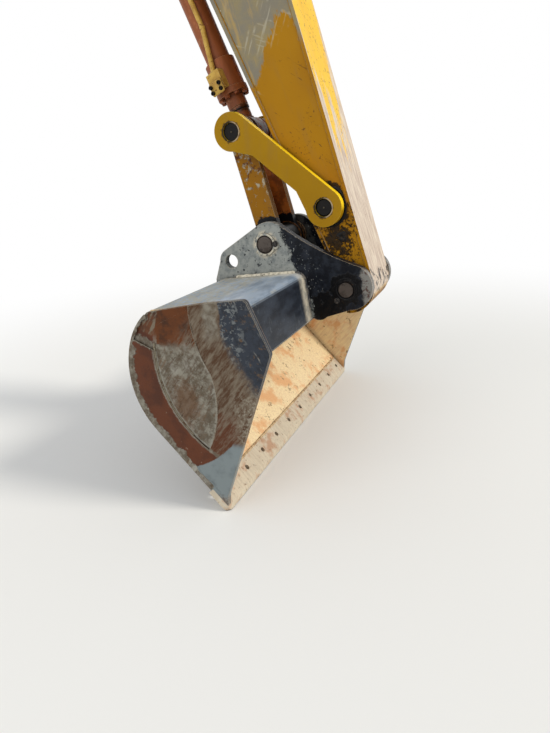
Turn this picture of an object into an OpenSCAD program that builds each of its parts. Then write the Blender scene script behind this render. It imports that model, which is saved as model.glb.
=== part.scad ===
// Excavator dipper arm with its bucket cylinder, bucket linkage and ditch-cleaning bucket.
// Millimetres. Origin: centre of the boom pivot bore. +X is forward, away from the machine,
// +Y is the machine's left and +Z is up. The pose is the parked one: cylinder fully in, bucket open.
// The feature that takes the most skill is the bucket linkage: the link pin's place is worked out
// from the lengths of the side links and of the H-link, so the pose stays true when a length changes.

/* [Arm] */
// Bucket pin to boom pivot
arm_length = 2900; // [2400:50:3400]
// Lean of the arm from the vertical, degrees
arm_lean = 18; // [0:1:40]
// Width over the arm's webs
arm_width = 310; // [280:10:340]
// How far the front and rear plates stand past the webs
flange_overhang = 8; // [2:1:15]
// Web plate thickness
web_plate = 12; // [8:1:20]
// Front and rear plate thickness
flange_plate = 16; // [10:1:25]
// Rear face to the pin line at the tip
rear_depth_tip = 125; // [105:5:150]
// Rear face to the pin line at the boom pivot
rear_depth_top = 165; // [140:5:200]
// Front face to the pin line at the tip
front_depth_tip = 28; // [10:2:60]
// Front face to the pin line at the cylinder bracket
front_depth_top = 358; // [300:10:420]
// Height of the cylinder base pivot along the arm
bracket_up = 2508; // [2200:10:2600]
// Distance of the cylinder base pivot from the pin line
bracket_out = 465; // [420:5:520]
// Height of the arm cylinder pivot past the boom pivot
crown_up = 650; // [560:10:760]
// Distance of the arm cylinder pivot from the pin line
crown_out = 330; // [260:10:400]

/* [Pins and bosses] */
// Pin diameter in the bucket linkage
pin_d = 80; // [60:5:100]
// Boom pivot bore diameter
boom_bore_d = 100; // [80:5:120]
// Radial running clearance of every pin
pin_clearance = 0.05; // [0.02:0.01:0.1]
// Tip boss radius
tip_boss_r = 98; // [85:1:115]
// Idler boss radius
idler_boss_r = 72; // [60:1:90]
// Boom boss radius
boom_boss_r = 115; // [100:5:140]
// Crown boss radius
crown_boss_r = 92; // [80:2:110]
// Gap between the crown bosses, for the arm cylinder's rod eye
crown_gap = 125; // [100:5:160]
// Thickness of a pin's end collar
collar_plate = 14; // [8:1:25]
// Radius of a pin's end collar
collar_r = 62; // [52:1:75]

/* [Linkage] */
// Idler pivot, height along the arm
idler_up = 394.6; // [340:5:460]
// Idler pivot, distance behind the pin line
idler_back = 17; // [0:1:40]
// How much longer the side link is than the H-link, pin to pin
side_link_extra = 30; // [0:5:60]
// Side link end radius
side_link_end_r = 87; // [75:1:100]
// Side link bar width
side_link_bar = 108; // [90:2:125]
// Side link thickness
side_link_plate = 40; // [30:1:50]
// Gap between the arm's web and a side link
side_link_gap = 17; // [12:1:25]
// H-link, pin to pin
h_link_length = 540; // [510:5:570]
// H-link width over its arms
h_link_width = 260; // [220:5:290]
// H-link arm thickness
h_link_arm = 42; // [30:1:55]
// H-link arm width, seen from the side
h_link_bar = 118; // [90:2:125]
// H-link lower tube radius
h_link_tube_r = 75; // [65:1:90]
// H-link web thickness
h_link_web = 26; // [16:1:40]
// Clearance between neighbours on one pin
side_clearance = 5; // [5:1:10]

/* [Bucket cylinder] */
// Barrel outer diameter
barrel_d = 120; // [110:1:132]
// Barrel wall
barrel_wall = 9; // [6:1:14]
// Cylinder head outer diameter
head_d = 150; // [140:1:165]
// Cylinder head length
head_length = 137; // [120:1:180]
// Bolted flange diameter
head_flange_d = 160; // [155:1:190]
// Bolted flange thickness
head_flange = 28; // [16:1:40]
// Gland nose length past the flange
gland_length = 74; // [60:1:85]
// Gland nose diameter
gland_d = 100; // [96:1:125]
// Rod diameter
rod_d = 80; // [60:1:90]
// Rod eye pivot to the flange's outer face
eye_to_flange = 190; // [180:5:230]
// Rod eye radius
rod_eye_r = 76; // [65:1:90]
// Rod eye width
rod_eye_width = 116; // [90:2:130]
// Rod eye neck diameter
rod_neck_d = 92; // [86:1:105]
// Hydraulic pipe diameter
pipe_d = 24; // [18:1:30]
// Turn of the pipe about the cylinder, from the arm's side, degrees
pipe_turn = 74; // [60:1:150]
// Turn of the port block on the head, degrees
port_turn = 97; // [80:1:140]

/* [Bucket] */
// Bucket width
bucket_width = 1830; // [1200:10:2100]
// Distance between bucket pins
ear_pin_spacing = 460; // [430:5:490]
// Direction from the bucket pin to the link pin, degrees above level
ear_angle = 27.18; // [20:1:35]
// Ear plate thickness
ear_plate = 40; // [30:1:60]
// Ear radius at the bucket pin
ear_tip_r = 111; // [105:1:112]
// Ear radius at the link pin
ear_top_r = 110; // [95:1:112]
// Side plate thickness
side_plate = 16; // [12:1:25]
// Wear plate thickness on the side plates
wear_plate = 10; // [6:1:16]
// Shell plate thickness
shell_plate = 12; // [10:1:25]
// Lip plate thickness
lip_plate = 32; // [20:1:45]
// Lip plate depth
lip_depth = 125; // [110:5:200]
// Direction of the bucket floor, degrees
floor_angle = 46.5; // [40:1:52]
// Length of the straight floor
floor_length = 486; // [420:5:540]
// Radius of the lower curve
lower_r = 387; // [360:5:410]
// Radius of the upper curve
upper_r = 296.5; // [270:5:320]
// Direction where the two curves meet, degrees
curve_meet_angle = 115; // [105:1:122]
// Direction of the back plate at its top, degrees
back_angle = 140.2; // [132:1:148]
// Lip bolt hole diameter
lip_hole_d = 26; // [18:1:34]
// Number of lip bolt holes
lip_hole_count = 10; // [4:1:12]
// Distance of the holes from the lip's edge
lip_hole_inset = 76; // [60:2:90]
// Lifting hole diameter in each ear
lifting_hole_d = 70; // [40:2:80]

/* [Hidden] */
$fn = 64;
eps = 0.01;
// Straight edges meet round ends this far inside the tangent
hair = 0.05;

function dir(a) = [cos(a), sin(a)];
function left(v) = [-v[1], v[0]];
function unit(v) = v / norm(v);
// The third corner of a triangle on the left of the side from p to q
function meet(p, rp, q, rq) =
    let (d = norm(q - p), a = (rp * rp - rq * rq + d * d) / (2 * d), u = (q - p) / d)
    p + a * u + sqrt(rp * rp - a * a) * left(u);
// Where the line from p along u crosses the line from q along v
function cross_point(p, u, q, v) =
    let (t = ((q[0] - p[0]) * v[1] - (q[1] - p[1]) * v[0]) / (u[0] * v[1] - u[1] * v[0])) p + t * u;
// A polyline moved to its left by d, with mitred corners
function moved(pts, d) = [for (i = [0 : len(pts) - 1])
    let (a = unit(pts[min(i + 1, len(pts) - 1)] - pts[min(i, len(pts) - 2)]),
         b = unit(pts[max(i, 1)] - pts[max(i - 1, 0)]),
         m = left(a) + left(b))
    pts[i] + m * (2 * d / (m * m))];
// A corner of an outline rounded off: the points of its arc
function rounded(p, q, r, radius, n) =
    let (a = unit(p - q), b = unit(r - q), half = acos(a * b) / 2, c = q + unit(a + b) * radius / sin(half),
         t = q + a * radius / tan(half) - c, way = cross(a, b) > 0 ? -1 : 1)
    [for (i = [0 : n]) c + radius * dir(atan2(t[1], t[0]) + way * (180 - 2 * half) * i / n)];
function reversed(pts) = [for (i = [len(pts) - 1 : -1 : 0]) pts[i]];
// Points of an arc about c from direction a to direction b
function arc(c, r, a, b, n) = [for (i = [0 : n]) c + r * dir(a + (b - a) * i / n)];
// Heading from one point to another, turned about the Y axis from +Z
function heading(p, q) = atan2(q[0] - p[0], q[1] - p[1]);

side_link_length = h_link_length + side_link_extra;
// Places in the arm's plane, all from the bucket pin
lean_up = [sin(arm_lean), cos(arm_lean)];
lean_out = [cos(arm_lean), -sin(arm_lean)];
function on_arm(out, up) = out * lean_out + up * lean_up;
bucket_pin_at = -arm_length * lean_up;
idler_at = on_arm(-idler_back, idler_up);
base_at = on_arm(bracket_out, bracket_up);
ear_link_at = ear_pin_spacing * dir(ear_angle);
link_at = meet(idler_at, side_link_length, ear_link_at, h_link_length);
cylinder_length = norm(link_at - base_at);

// Layers across the arm
web_y = arm_width / 2;
flange_y = web_y + flange_overhang;
ear_in_y = flange_y + side_clearance;
ear_out_y = ear_in_y + ear_plate;
link_in_y = web_y + side_link_gap;
link_out_y = link_in_y + side_link_plate;
h_out_y = h_link_width / 2;
h_in_y = h_out_y - h_link_arm;
eye_y = rod_eye_width / 2;
pin_r = pin_d / 2;
bore_r = pin_r + pin_clearance;

// Frames of the bodies, each with its own pins on the Z axis
module in_arm() translate([bucket_pin_at[0], 0, bucket_pin_at[1]]) rotate([0, arm_lean, 0]) children();
module in_bucket() translate([bucket_pin_at[0], 0, bucket_pin_at[1]]) children();
module between(p, q) in_bucket() translate([p[0], 0, p[1]]) rotate([0, heading(p, q), 0]) children();
module in_side_link() between(idler_at, link_at) children();
module in_h_link() between(ear_link_at, link_at) children();
module in_cylinder() between(base_at, link_at) children();

// A flat shape drawn in X and Z, standing between two distances along Y
module slab(y0, y1) translate([0, y1, 0]) rotate([90, 0, 0]) linear_extrude(height = y1 - y0) children();
// The slab of all children but the last, with the last cut right through it
module cut_slab(y0, y1) difference() {
    union() for (i = [0 : $children - 2]) slab(y0, y1) children(i);
    slab(y0 - 1, y1 + 1) children($children - 1);
}
module both_sides() {
    children();
    mirror([0, 1, 0]) children();
}
module spot(p, r) translate(p) circle(r);
module ring(r, hole_r, high) difference() {
    cylinder(r = r, h = high);
    translate([0, 0, -1]) cylinder(r = hole_r, h = high + 2);
}
module sector(c, r, a, b) intersection() {
    spot(c, r);
    polygon([c, c + 2 * r * dir(a), c + 2 * r * dir((a + b) / 2), c + 2 * r * dir(b)]);
}
module bent_plate(pts, thick) polygon(concat(pts, reversed(moved(pts, thick))));

// Arm: side outline from the tip boss to the crown, in (out, up)
pivot = [0, arm_length];
crown = [crown_out, arm_length + crown_up];
front_slope = (front_depth_top - front_depth_tip) / bracket_up;
function front_at(up) = front_depth_tip + front_slope * up;
function rear_at(up) = -rear_depth_tip - (rear_depth_top - rear_depth_tip) * up / arm_length;
front_low = 190;
rear_low = 0;
// How far the rear plate is rolled round the tip boss, degrees
tip_wrap = 112;
front_top_up = arm_length - 40;
knee_up = arm_length + boom_boss_r;
shoulder = [front_at(front_top_up), front_top_up];
crown_front = crown + crown_boss_r * dir(-25);
crown_rear = crown + crown_boss_r * dir(170);
rear_line = [[rear_at(rear_low), rear_low], [rear_at(knee_up), knee_up]];
front_line = [[front_at(front_low), front_low], shoulder];

crown_front_in = moved([shoulder, crown_front], flange_plate)[1];
crown_rear_in = moved([rear_line[1], crown_rear], -flange_plate)[1];
module arm_side() polygon([[rear_at(0) + flange_plate, 0], moved(rear_line, -flange_plate)[0],
    moved([rear_line[0], rear_line[1], crown_rear], -flange_plate)[1], crown_rear_in, crown, crown_front_in,
    moved([front_line[0], shoulder, crown_front], flange_plate)[1], moved(front_line, flange_plate)[0],
    0.72 * tip_boss_r * [1, 1]]);
module arm_holes() {
    spot([0, 0], tip_boss_r);
    spot([-idler_back, idler_up], idler_boss_r);
    spot(pivot, boom_boss_r);
    spot(crown, crown_boss_r - 14);
}
module stick_web(side) color("goldenrod") in_arm()
    cut_slab(side > 0 ? web_y - web_plate : -web_y, side > 0 ? web_y : -web_y + web_plate) {
        arm_side();
        spot([0, 0], rear_depth_tip - flange_plate);
        spot(crown, crown_boss_r);
        arm_holes();
    }
module stick_web_left() stick_web(1);
module stick_web_right() stick_web(-1);

module stick_front_plate() color("gold") in_arm() cut_slab(-flange_y, flange_y) {
    bent_plate([front_line[0], shoulder, crown_front + 30 * unit(crown_front - shoulder)], flange_plate);
    spot(crown, crown_boss_r);
}
module stick_rear_plate() color("gold") in_arm() union() {
    cut_slab(-flange_y, flange_y) {
        bent_plate(reversed([rear_line[0], rear_line[1], crown_rear + 30 * unit(crown_rear - rear_line[1])]),
            flange_plate);
        spot(crown, crown_boss_r);
    }
    cut_slab(-flange_y, flange_y) {
        sector([0, 0], rear_depth_tip, 178, 180 + tip_wrap);
        circle(rear_depth_tip - flange_plate);
    }
}

module boss(p, r, hole_r, half) cut_slab(-half, half) {
    spot(p, r);
    spot(p, hole_r);
}
module tip_boss() color("orange") in_arm() boss([0, 0], tip_boss_r - 0.1, bore_r, ear_in_y - side_clearance);
module idler_boss() color("orange") in_arm()
    boss([-idler_back, idler_up], idler_boss_r - 0.1, bore_r, web_y + side_link_gap - side_clearance);
module boom_boss() color("orange") in_arm() boss(pivot, boom_boss_r - 0.1, boom_bore_d / 2, web_y + 20);
module crown_bosses() color("orange") in_arm() both_sides() cut_slab(crown_gap / 2, web_y + 20) {
    spot(crown, crown_boss_r - 14.1);
    spot(crown, pin_r);
}
// Doubler plates round the boom pivot, where the web carries the most
doubler_plate = 12;
doubler_r = rear_depth_top - flange_plate - 4;
module boom_doublers() color("goldenrod") in_arm() both_sides() cut_slab(web_y, web_y + doubler_plate) {
    spot(pivot, doubler_r);
    spot(pivot, boom_boss_r);
}

// Bucket cylinder bracket: two lugs standing on the front plate
barrel_r = barrel_d / 2;
base_eye_y = barrel_r + 4;
base_eye_r = 76;
lug_in = base_eye_y + side_clearance;
lug_plate = 40;
lug_r = 88;
lug_foot_low = 270;
lug_foot_high = 250;
base_on_arm = [bracket_out, bracket_up];
module bracket_lug(side) color("orange") in_arm()
    cut_slab(side > 0 ? lug_in : -lug_in - lug_plate, side > 0 ? lug_in + lug_plate : -lug_in) {
        spot(base_on_arm, lug_r);
        polygon([base_on_arm + 0.98 * lug_r * dir(-62),
            [front_at(bracket_up - lug_foot_low), bracket_up - lug_foot_low],
            [front_at(bracket_up + lug_foot_high), bracket_up + lug_foot_high],
            base_on_arm + 0.98 * lug_r * dir(75)]);
        spot(base_on_arm, bore_r);
    }
module bracket_left() bracket_lug(1);
module bracket_right() bracket_lug(-1);

// The pins in the side links end inside their bores
pin_recess = 9;
// Raised rings round the pins on the ears
ear_ring = 9;
// A pin with a collar at each end, along Y
module collared_pin(r, half) {
    slab(-half, half) circle(r);
    both_sides() slab(half, half + collar_plate) circle(collar_r);
}
// A plain pin with chamfered ends, along Y
pin_chamfer = 5;
module plain_pin(r, half) {
    slab(-half + pin_chamfer, half - pin_chamfer) circle(r);
    both_sides() translate([0, half, 0]) rotate([90, 0, 0]) cylinder(r1 = r - pin_chamfer, r2 = r, h = pin_chamfer);
}
module base_pin() color("silver") in_bucket() translate([base_at[0], 0, base_at[1]])
    collared_pin(pin_r, lug_in + lug_plate + 0.3);
module idler_pin() color("silver") in_bucket() translate([idler_at[0], 0, idler_at[1]])
    plain_pin(pin_r, link_out_y - pin_recess);
module bucket_pin() color("silver") in_bucket() plain_pin(pin_r, ear_out_y + ear_ring - 2);
module ear_link_pin() color("silver") in_bucket() translate([ear_link_at[0], 0, ear_link_at[1]])
    plain_pin(pin_r, ear_out_y + ear_ring + 4);

// Side links: the outer edge is one straight tangent, the inner edge is cut back to pass the ears
module side_link_bar_shape() polygon([[hair - side_link_end_r, 0], [hair - side_link_end_r, side_link_length],
    [0, side_link_length], [0, side_link_length] + 0.97 * side_link_end_r * dir(-35),
    [side_link_bar - side_link_end_r, side_link_length - 150],
    [side_link_bar - side_link_end_r, 150], 0.97 * side_link_end_r * dir(35), [0, 0]]);
module side_link(side) color("yellow") in_side_link()
    cut_slab(side > 0 ? link_in_y : -link_out_y, side > 0 ? link_out_y : -link_in_y) {
        side_link_bar_shape();
        circle(side_link_end_r);
        spot([0, side_link_length], side_link_end_r);
        union() {
            circle(bore_r);
            spot([0, side_link_length], bore_r);
        }
    }
module side_link_left() side_link(1);
module side_link_right() side_link(-1);
// The link pin is cut into lengths, each riding on one body, so that an opened loop never clashes
module link_pin_ends() color("silver") in_side_link() translate([0, 0, side_link_length]) both_sides() {
    slab(h_out_y + side_clearance, link_out_y - pin_recess) circle(pin_r);
}

// H-link: a tube between the ears, two arms and a web between them
tube_y = ear_in_y - side_clearance;
web_low = h_link_tube_r * 0.6;
web_window = 130;
web_high = h_link_length - rod_eye_r - web_window;
module h_link() color("darkorange") in_h_link() difference() {
    union() {
        both_sides() slab(h_in_y, h_out_y) union() {
            circle(h_link_tube_r);
            spot([0, h_link_length], h_link_tube_r);
            polygon([[-h_link_bar / 2, 0], [-h_link_bar / 2, h_link_length],
                [h_link_bar / 2, h_link_length], [h_link_bar / 2, 0]]);
        }
        slab(-tube_y, tube_y) circle(h_link_tube_r);
        slab(-h_in_y - eps, h_in_y + eps)
            polygon([[h_link_bar / 2 - h_link_web, web_low], [h_link_bar / 2 - h_link_web, web_high],
                [h_link_bar / 2, web_high], [h_link_bar / 2, web_low]]);
    }
    slab(-tube_y - 1, tube_y + 1) circle(bore_r);
    slab(-h_out_y - 1, h_out_y + 1) spot([0, h_link_length], bore_r);
}
module link_pin_sleeves() color("silver") in_h_link() translate([0, 0, h_link_length]) both_sides()
    slab(h_in_y, h_out_y) circle(pin_r);

// Bucket cylinder, from its base pin at the origin along +Z
flange_out = cylinder_length - eye_to_flange;
head_start = flange_out - head_flange - head_length;
module barrel() color("sienna") in_cylinder() difference() {
    union() {
        slab(-base_eye_y, base_eye_y) circle(base_eye_r);
        translate([0, 0, base_eye_r - 20]) cylinder(r = barrel_r, h = head_start - base_eye_r + 20);
    }
    slab(-base_eye_y - 1, base_eye_y + 1) circle(bore_r);
    translate([0, 0, base_eye_r + 14]) cylinder(r = barrel_r - barrel_wall, h = head_start);
}
module cylinder_head() color("sienna") in_cylinder() {
    difference() {
        union() {
            translate([0, 0, head_start]) cylinder(r = head_d / 2, h = head_length);
            translate([0, 0, head_start + head_length]) cylinder(r = head_flange_d / 2, h = head_flange);
            translate([0, 0, flange_out]) cylinder(r = gland_d / 2, h = gland_length);
        }
        translate([0, 0, flange_out + gland_length - 16]) ring(gland_d / 2 + 1, gland_d / 2 - 3, 6);
        translate([0, 0, head_start - 1]) cylinder(r = barrel_r - barrel_wall, h = head_length + 1);
        cylinder(r = rod_d / 2 + pin_clearance, h = cylinder_length);
    }
}
rod_neck_length = eye_to_flange - gland_length - 6;
rod_inside = 900;
rod_top = head_start - rod_inside;
module rod() color("lightgray") in_cylinder() {
    translate([0, 0, rod_top]) cylinder(r = rod_d / 2, h = cylinder_length - rod_neck_length - rod_top);
    translate([0, 0, rod_top - 60]) cylinder(r = barrel_r - barrel_wall - pin_clearance, h = 60);
}
module rod_eye() color("sienna") in_cylinder() difference() {
    union() {
        slab(-eye_y, eye_y) spot([0, cylinder_length], rod_eye_r);
        translate([0, 0, cylinder_length - rod_neck_length]) cylinder(r = rod_neck_d / 2, h = rod_neck_length);
    }
    slab(-eye_y - 1, eye_y + 1) spot([0, cylinder_length], bore_r);
}
module link_pin_middle() color("silver") in_cylinder() translate([0, 0, cylinder_length])
    slab(-h_in_y + side_clearance, h_in_y - side_clearance) circle(pin_r);

// Hydraulic pipe along the barrel, to a port block on the head
pipe_side = barrel_d / 2 + pipe_d / 2 + 10;
port_side = head_d / 2 + pipe_d / 2 + 4;
port_long = 84;
port_foot = flange_out - head_flange - port_long;
base_port_start = 250;
base_port_end = 300;
// The pipe runs along the barrel and then slants out to the port block
pipe_bend = head_start - 145;
pipe_elbow = 2;
pipe_low = [pipe_side * cos(pipe_turn), pipe_side * sin(pipe_turn), pipe_bend];
port_at = [port_side * cos(port_turn), port_side * sin(port_turn), port_foot];
pipe_tilt = atan(norm([port_at[0] - pipe_low[0], port_at[1] - pipe_low[1]]) / (port_foot - pipe_bend));
pipe_in = port_at - [0, 0, pipe_d / 2 * sin(pipe_tilt) + 0.2];
pipe_slant = pipe_in - pipe_low;
module pipe_frame() in_cylinder() rotate([0, 0, pipe_turn]) children();
module port_frame() in_cylinder() rotate([0, 0, port_turn]) children();
module pipe() color("khaki") in_cylinder() {
    rotate([0, 0, pipe_turn])
        translate([pipe_side, 0, base_port_end]) cylinder(r = pipe_d / 2, h = pipe_bend - base_port_end);
    translate(pipe_low) sphere(r = pipe_d / 2 + pipe_elbow);
    translate(pipe_low) rotate([0, acos(pipe_slant[2] / norm(pipe_slant)), atan2(pipe_slant[1], pipe_slant[0])])
        cylinder(r = pipe_d / 2, h = norm(pipe_slant));
}
module port_block() color("khaki") port_frame() difference() {
    translate([head_d / 2 - 20, -38, port_foot])
        cube([port_side - head_d / 2 + 20 + pipe_d / 2 + 8, 76, port_long]);
    translate([0, 0, head_start]) cylinder(r = head_d / 2, h = head_length);
}
module base_port() color("khaki") pipe_frame() difference() {
    translate([barrel_r - 20, -30, base_port_start])
        cube([pipe_side - barrel_r + pipe_d / 2 + 26, 60, base_port_end - base_port_start]);
    cylinder(r = barrel_r, h = 400);
}
// Two halves clamp the pipe on a foot welded to the barrel
clamp_at = 620;
clamp_high = 44;
module pipe_clamp() color("khaki") pipe_frame() difference() {
    translate([barrel_r - 20, -34, clamp_at]) cube([pipe_side - barrel_r + pipe_d / 2 + 30, 68, clamp_high]);
    cylinder(r = barrel_r, h = 2 * clamp_at);
    translate([pipe_side, 0, clamp_at - 1]) cylinder(r = pipe_d / 2, h = clamp_high + 2);
}

// Bucket, in X and Z from the bucket pin
lip_tip = [329, -858];
floor_dir = dir(floor_angle);
floor_end = lip_tip + floor_length * floor_dir;
lower_c = floor_end + lower_r * left(floor_dir);
curve_meet = lower_c - lower_r * left(dir(curve_meet_angle));
upper_c = curve_meet + upper_r * left(dir(curve_meet_angle));
back_low = upper_c - upper_r * left(dir(back_angle));
back_flat = 12;
back_top = back_low + back_flat * dir(back_angle);
bucket_y = bucket_width / 2;
side_y = bucket_y - wear_plate;
inner_y = side_y - side_plate;
beam_top_front = [211, 80];
beam_front_low = [173, -152];
side_top = [390, 85];
side_shoulder = [188, 112];
side_waist = [93, -98];
side_knee = [330, -775];
// The lip lies partly below the floor's outer line
lip_drop = 19;
function on_lip(along, in) = lip_tip + along * floor_dir + in * left(floor_dir);
lip_rise = lip_plate - lip_drop;
lip_chamfer = 24;

// The bucket's outer line from the floor's end to the top, moved inwards by a distance
function wrap_points(inset) =
    let (r1 = lower_r - inset, r2 = upper_r - inset)
    [lower_c + r1 * dir(floor_angle - 90), lower_c + 0.85 * r1 * dir((floor_angle + curve_meet_angle) / 2 - 90),
        lower_c + r1 * dir(curve_meet_angle - 90),
        upper_c + 0.85 * r2 * dir((curve_meet_angle + back_angle) / 2 - 90),
        upper_c + r2 * dir(back_angle - 90)];
module wrap_arcs(inset) {
    sector(lower_c, lower_r - inset, floor_angle - 91, curve_meet_angle - 90);
    sector(upper_c, upper_r - inset, curve_meet_angle - 92, back_angle - 89);
}
module side_outline() union() {
    polygon(concat([on_lip(lip_chamfer, lip_rise), on_lip(lip_depth, lip_rise), on_lip(lip_depth, 0)],
        wrap_points(0), [back_top, side_top], rounded(side_top, side_shoulder, side_waist, 24, 5),
        rounded(side_shoulder, side_waist, side_knee, 34, 5), [side_knee]));
    wrap_arcs(0);
}
module side(y0, y1) color("dimgray") in_bucket() slab(y0, y1) side_outline();
module side_plate_left() side(inner_y, side_y);
module side_plate_right() side(-side_y, -inner_y);

// Wear plates: a heel strip and a front plate with a leaf-shaped recess between their arcs
heel_arc_c = [137, -148];
heel_arc_r = 493;
front_bend = [365, -205];
front_high_c = [-75, 65];
front_low_c = [803, -335];
module leaf(y0, y1) union() {
    difference() {
        intersection() {
            slab(y0, y1) spot(heel_arc_c, heel_arc_r);
            slab(y0, y1) translate([0, front_bend[1]]) square([800, 500]);
        }
        slab(y0 - 1, y1 + 1) spot(front_high_c, norm(front_bend - front_high_c));
    }
    intersection() {
        slab(y0, y1) spot(heel_arc_c, heel_arc_r);
        slab(y0, y1) spot(front_low_c, norm(front_bend - front_low_c));
        slab(y0, y1) translate([0, front_bend[1] - 500]) square([800, 500]);
    }
    slab(y0, y1) polygon([[560, -153], [628, -126], [770, -70], [770, 150], [560, 150]]);
}
module side_wear(y0, y1) color("saddlebrown") in_bucket() difference() {
    slab(y0, y1) side_outline();
    leaf(y0 - 1, y1 + 1);
}
module side_wear_left() side_wear(side_y, bucket_y);
module side_wear_right() side_wear(-bucket_y, -side_y);

back_inner = moved([back_low, back_top, beam_top_front], shell_plate)[1];
module wrap(y0, y1, inset, extra, reach, end) {
    slab(y0, y1) polygon(concat([on_lip(lip_depth - extra, reach), on_lip(lip_depth - extra, inset)],
        wrap_points(inset), end));
    slab(y0, y1) sector(lower_c, lower_r - inset, floor_angle - 91, curve_meet_angle - 90);
    slab(y0, y1) sector(upper_c, upper_r - inset, curve_meet_angle - 92, back_angle - 89);
}
// One plate rolled round from the lip to the top: straight floor, two curves and a short back
module rolled(c, r, a, b) difference() {
    slab(-inner_y, inner_y) sector(c, r, a, b);
    slab(-bucket_y, bucket_y) spot(c, r - shell_plate);
}
shell_in = wrap_points(shell_plate);
module bucket_shell() color("saddlebrown") in_bucket() union() {
    slab(-inner_y, inner_y) polygon([on_lip(lip_depth, 0), floor_end, shell_in[0], on_lip(lip_depth, shell_plate)]);
    rolled(lower_c, lower_r, floor_angle - 90, curve_meet_angle - 90);
    rolled(upper_c, upper_r, curve_meet_angle - 90, back_angle - 90);
    slab(-inner_y, inner_y) polygon([back_low, back_top, back_inner, shell_in[4]]);
}

// The end holes stand this far from the lip's ends
lip_end = 92;
lip_pitch = (bucket_width - 2 * lip_end) / (lip_hole_count - 1);
lip_corner_r = 30;
module on_lip_frame() translate([lip_tip[0], 0, lip_tip[1]]) rotate([0, 90 - floor_angle, 0]) children();
module lip() color("lightgray") in_bucket() difference() {
    slab(-bucket_y, bucket_y) polygon([on_lip(0, -8), on_lip(18, -lip_drop), on_lip(lip_depth, -lip_drop),
        on_lip(lip_depth, lip_rise), on_lip(lip_chamfer, lip_rise), on_lip(0, -3)]);
    on_lip_frame() for (i = [0 : lip_hole_count - 1])
        translate([-lip_rise - 5, (i - (lip_hole_count - 1) / 2) * lip_pitch, lip_hole_inset])
            rotate([0, 90, 0]) cylinder(r = lip_hole_d / 2, h = lip_plate + 10);
    on_lip_frame() both_sides() difference() {
        translate([-lip_rise - 5, bucket_y - lip_corner_r, -1])
            cube([lip_plate + 10, lip_corner_r + 1, lip_corner_r + 1]);
        translate([-lip_rise - 6, bucket_y - lip_corner_r, lip_corner_r])
            rotate([0, 90, 0]) cylinder(r = lip_corner_r, h = lip_plate + 12);
    }
}

// Top box beam: one plate bent round the front corner, closed to the shell below
beam_corner_r = 45;
beam_top_back = back_top;
beam_floor_at = 5;
beam_back_low = lower_c + (lower_r - shell_plate) * dir(beam_floor_at);
beam_top_dir = unit(beam_top_back - beam_top_front);
beam_front_dir = unit(beam_front_low - beam_top_front);
beam_turn = acos(beam_top_dir * beam_front_dir);
beam_tangent = beam_corner_r / tan(beam_turn / 2);
beam_corner_c = beam_top_front + unit(beam_top_dir + beam_front_dir) * (beam_corner_r / sin(beam_turn / 2));
beam_path = concat([beam_top_back],
    arc(beam_corner_c, beam_corner_r, atan2(beam_top_dir[0], -beam_top_dir[1]),
        atan2(beam_top_dir[0], -beam_top_dir[1]) + 180 - beam_turn, 8),
    [beam_front_low]);
beam_inner = moved(beam_path, shell_plate);
module beam_plate() polygon(concat(beam_path, [for (i = [len(beam_path) - 1 : -1 : 1]) beam_inner[i]], [back_inner]));
module top_beam() color("slategray") in_bucket() slab(-inner_y, inner_y) beam_plate();
beam_floor_dir = unit(beam_back_low - beam_front_low);
beam_floor_front = beam_front_low + shell_plate * beam_floor_dir;
beam_floor_under = moved([beam_back_low, beam_floor_front], shell_plate);
module beam_floor_plate()
    bent_plate(reversed([beam_floor_front, beam_back_low + 40 * beam_floor_dir]), shell_plate);
module beam_floor() color("slategray") in_bucket() difference() {
    slab(-inner_y, inner_y) beam_floor_plate();
    slab(-inner_y - 1, inner_y + 1) difference() {
        spot(lower_c, lower_r * 1.5);
        spot(lower_c, lower_r - shell_plate);
    }
    slab(-inner_y - 1, inner_y + 1) beam_plate();
}

// Ears: three round ends, one hollow long edge and a lobe at the foot of the beam
ear_tip_c = [-17, 13];
ear_top_c = ear_link_at - [22, 2];
lifting_at = [603, 122];
lifting_r = 66;
ear_lobe_c = [138, -104];
ear_lobe_r = 54;
ear_hollow = 18;
tip_to_top = ear_top_c - ear_tip_c;
ear_edge_r = (tip_to_top * tip_to_top / 4 + ear_hollow * ear_hollow) / (2 * ear_hollow);
ear_edge_c = (ear_tip_c + ear_top_c) / 2
    + ((ear_tip_r + ear_top_r) / 2 + ear_edge_r - ear_hollow) * left(unit(tip_to_top));
top_to_lifting = lifting_at - ear_top_c;
lifting_side = dir(90 + atan2(top_to_lifting[1], top_to_lifting[0])
    - asin((ear_top_r - lifting_r) / norm(top_to_lifting)));
ear_region = [ear_tip_c + 0.97 * ear_tip_r * left(unit(tip_to_top)),
    ear_top_c + 0.97 * ear_top_r * left(unit(tip_to_top)),
    ear_top_c, ear_top_c + (ear_top_r - hair) * lifting_side, lifting_at + (lifting_r - hair) * lifting_side,
    lifting_at, lifting_at + [lifting_r - hair, 0], [701, 27], [701, -60], [400, -100], ear_lobe_c,
    ear_lobe_c + 0.98 * ear_lobe_r * dir(-138), ear_tip_c + 0.98 * ear_tip_r * dir(-96)];
module ear_cuts() {
    circle(bore_r);
    spot(ear_link_at, bore_r);
    spot(lifting_at, lifting_hole_d / 2);
    polygon(concat(beam_path, [beam_floor_front, beam_floor_under[1], beam_floor_under[0]]));
    beam_plate();
}
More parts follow.
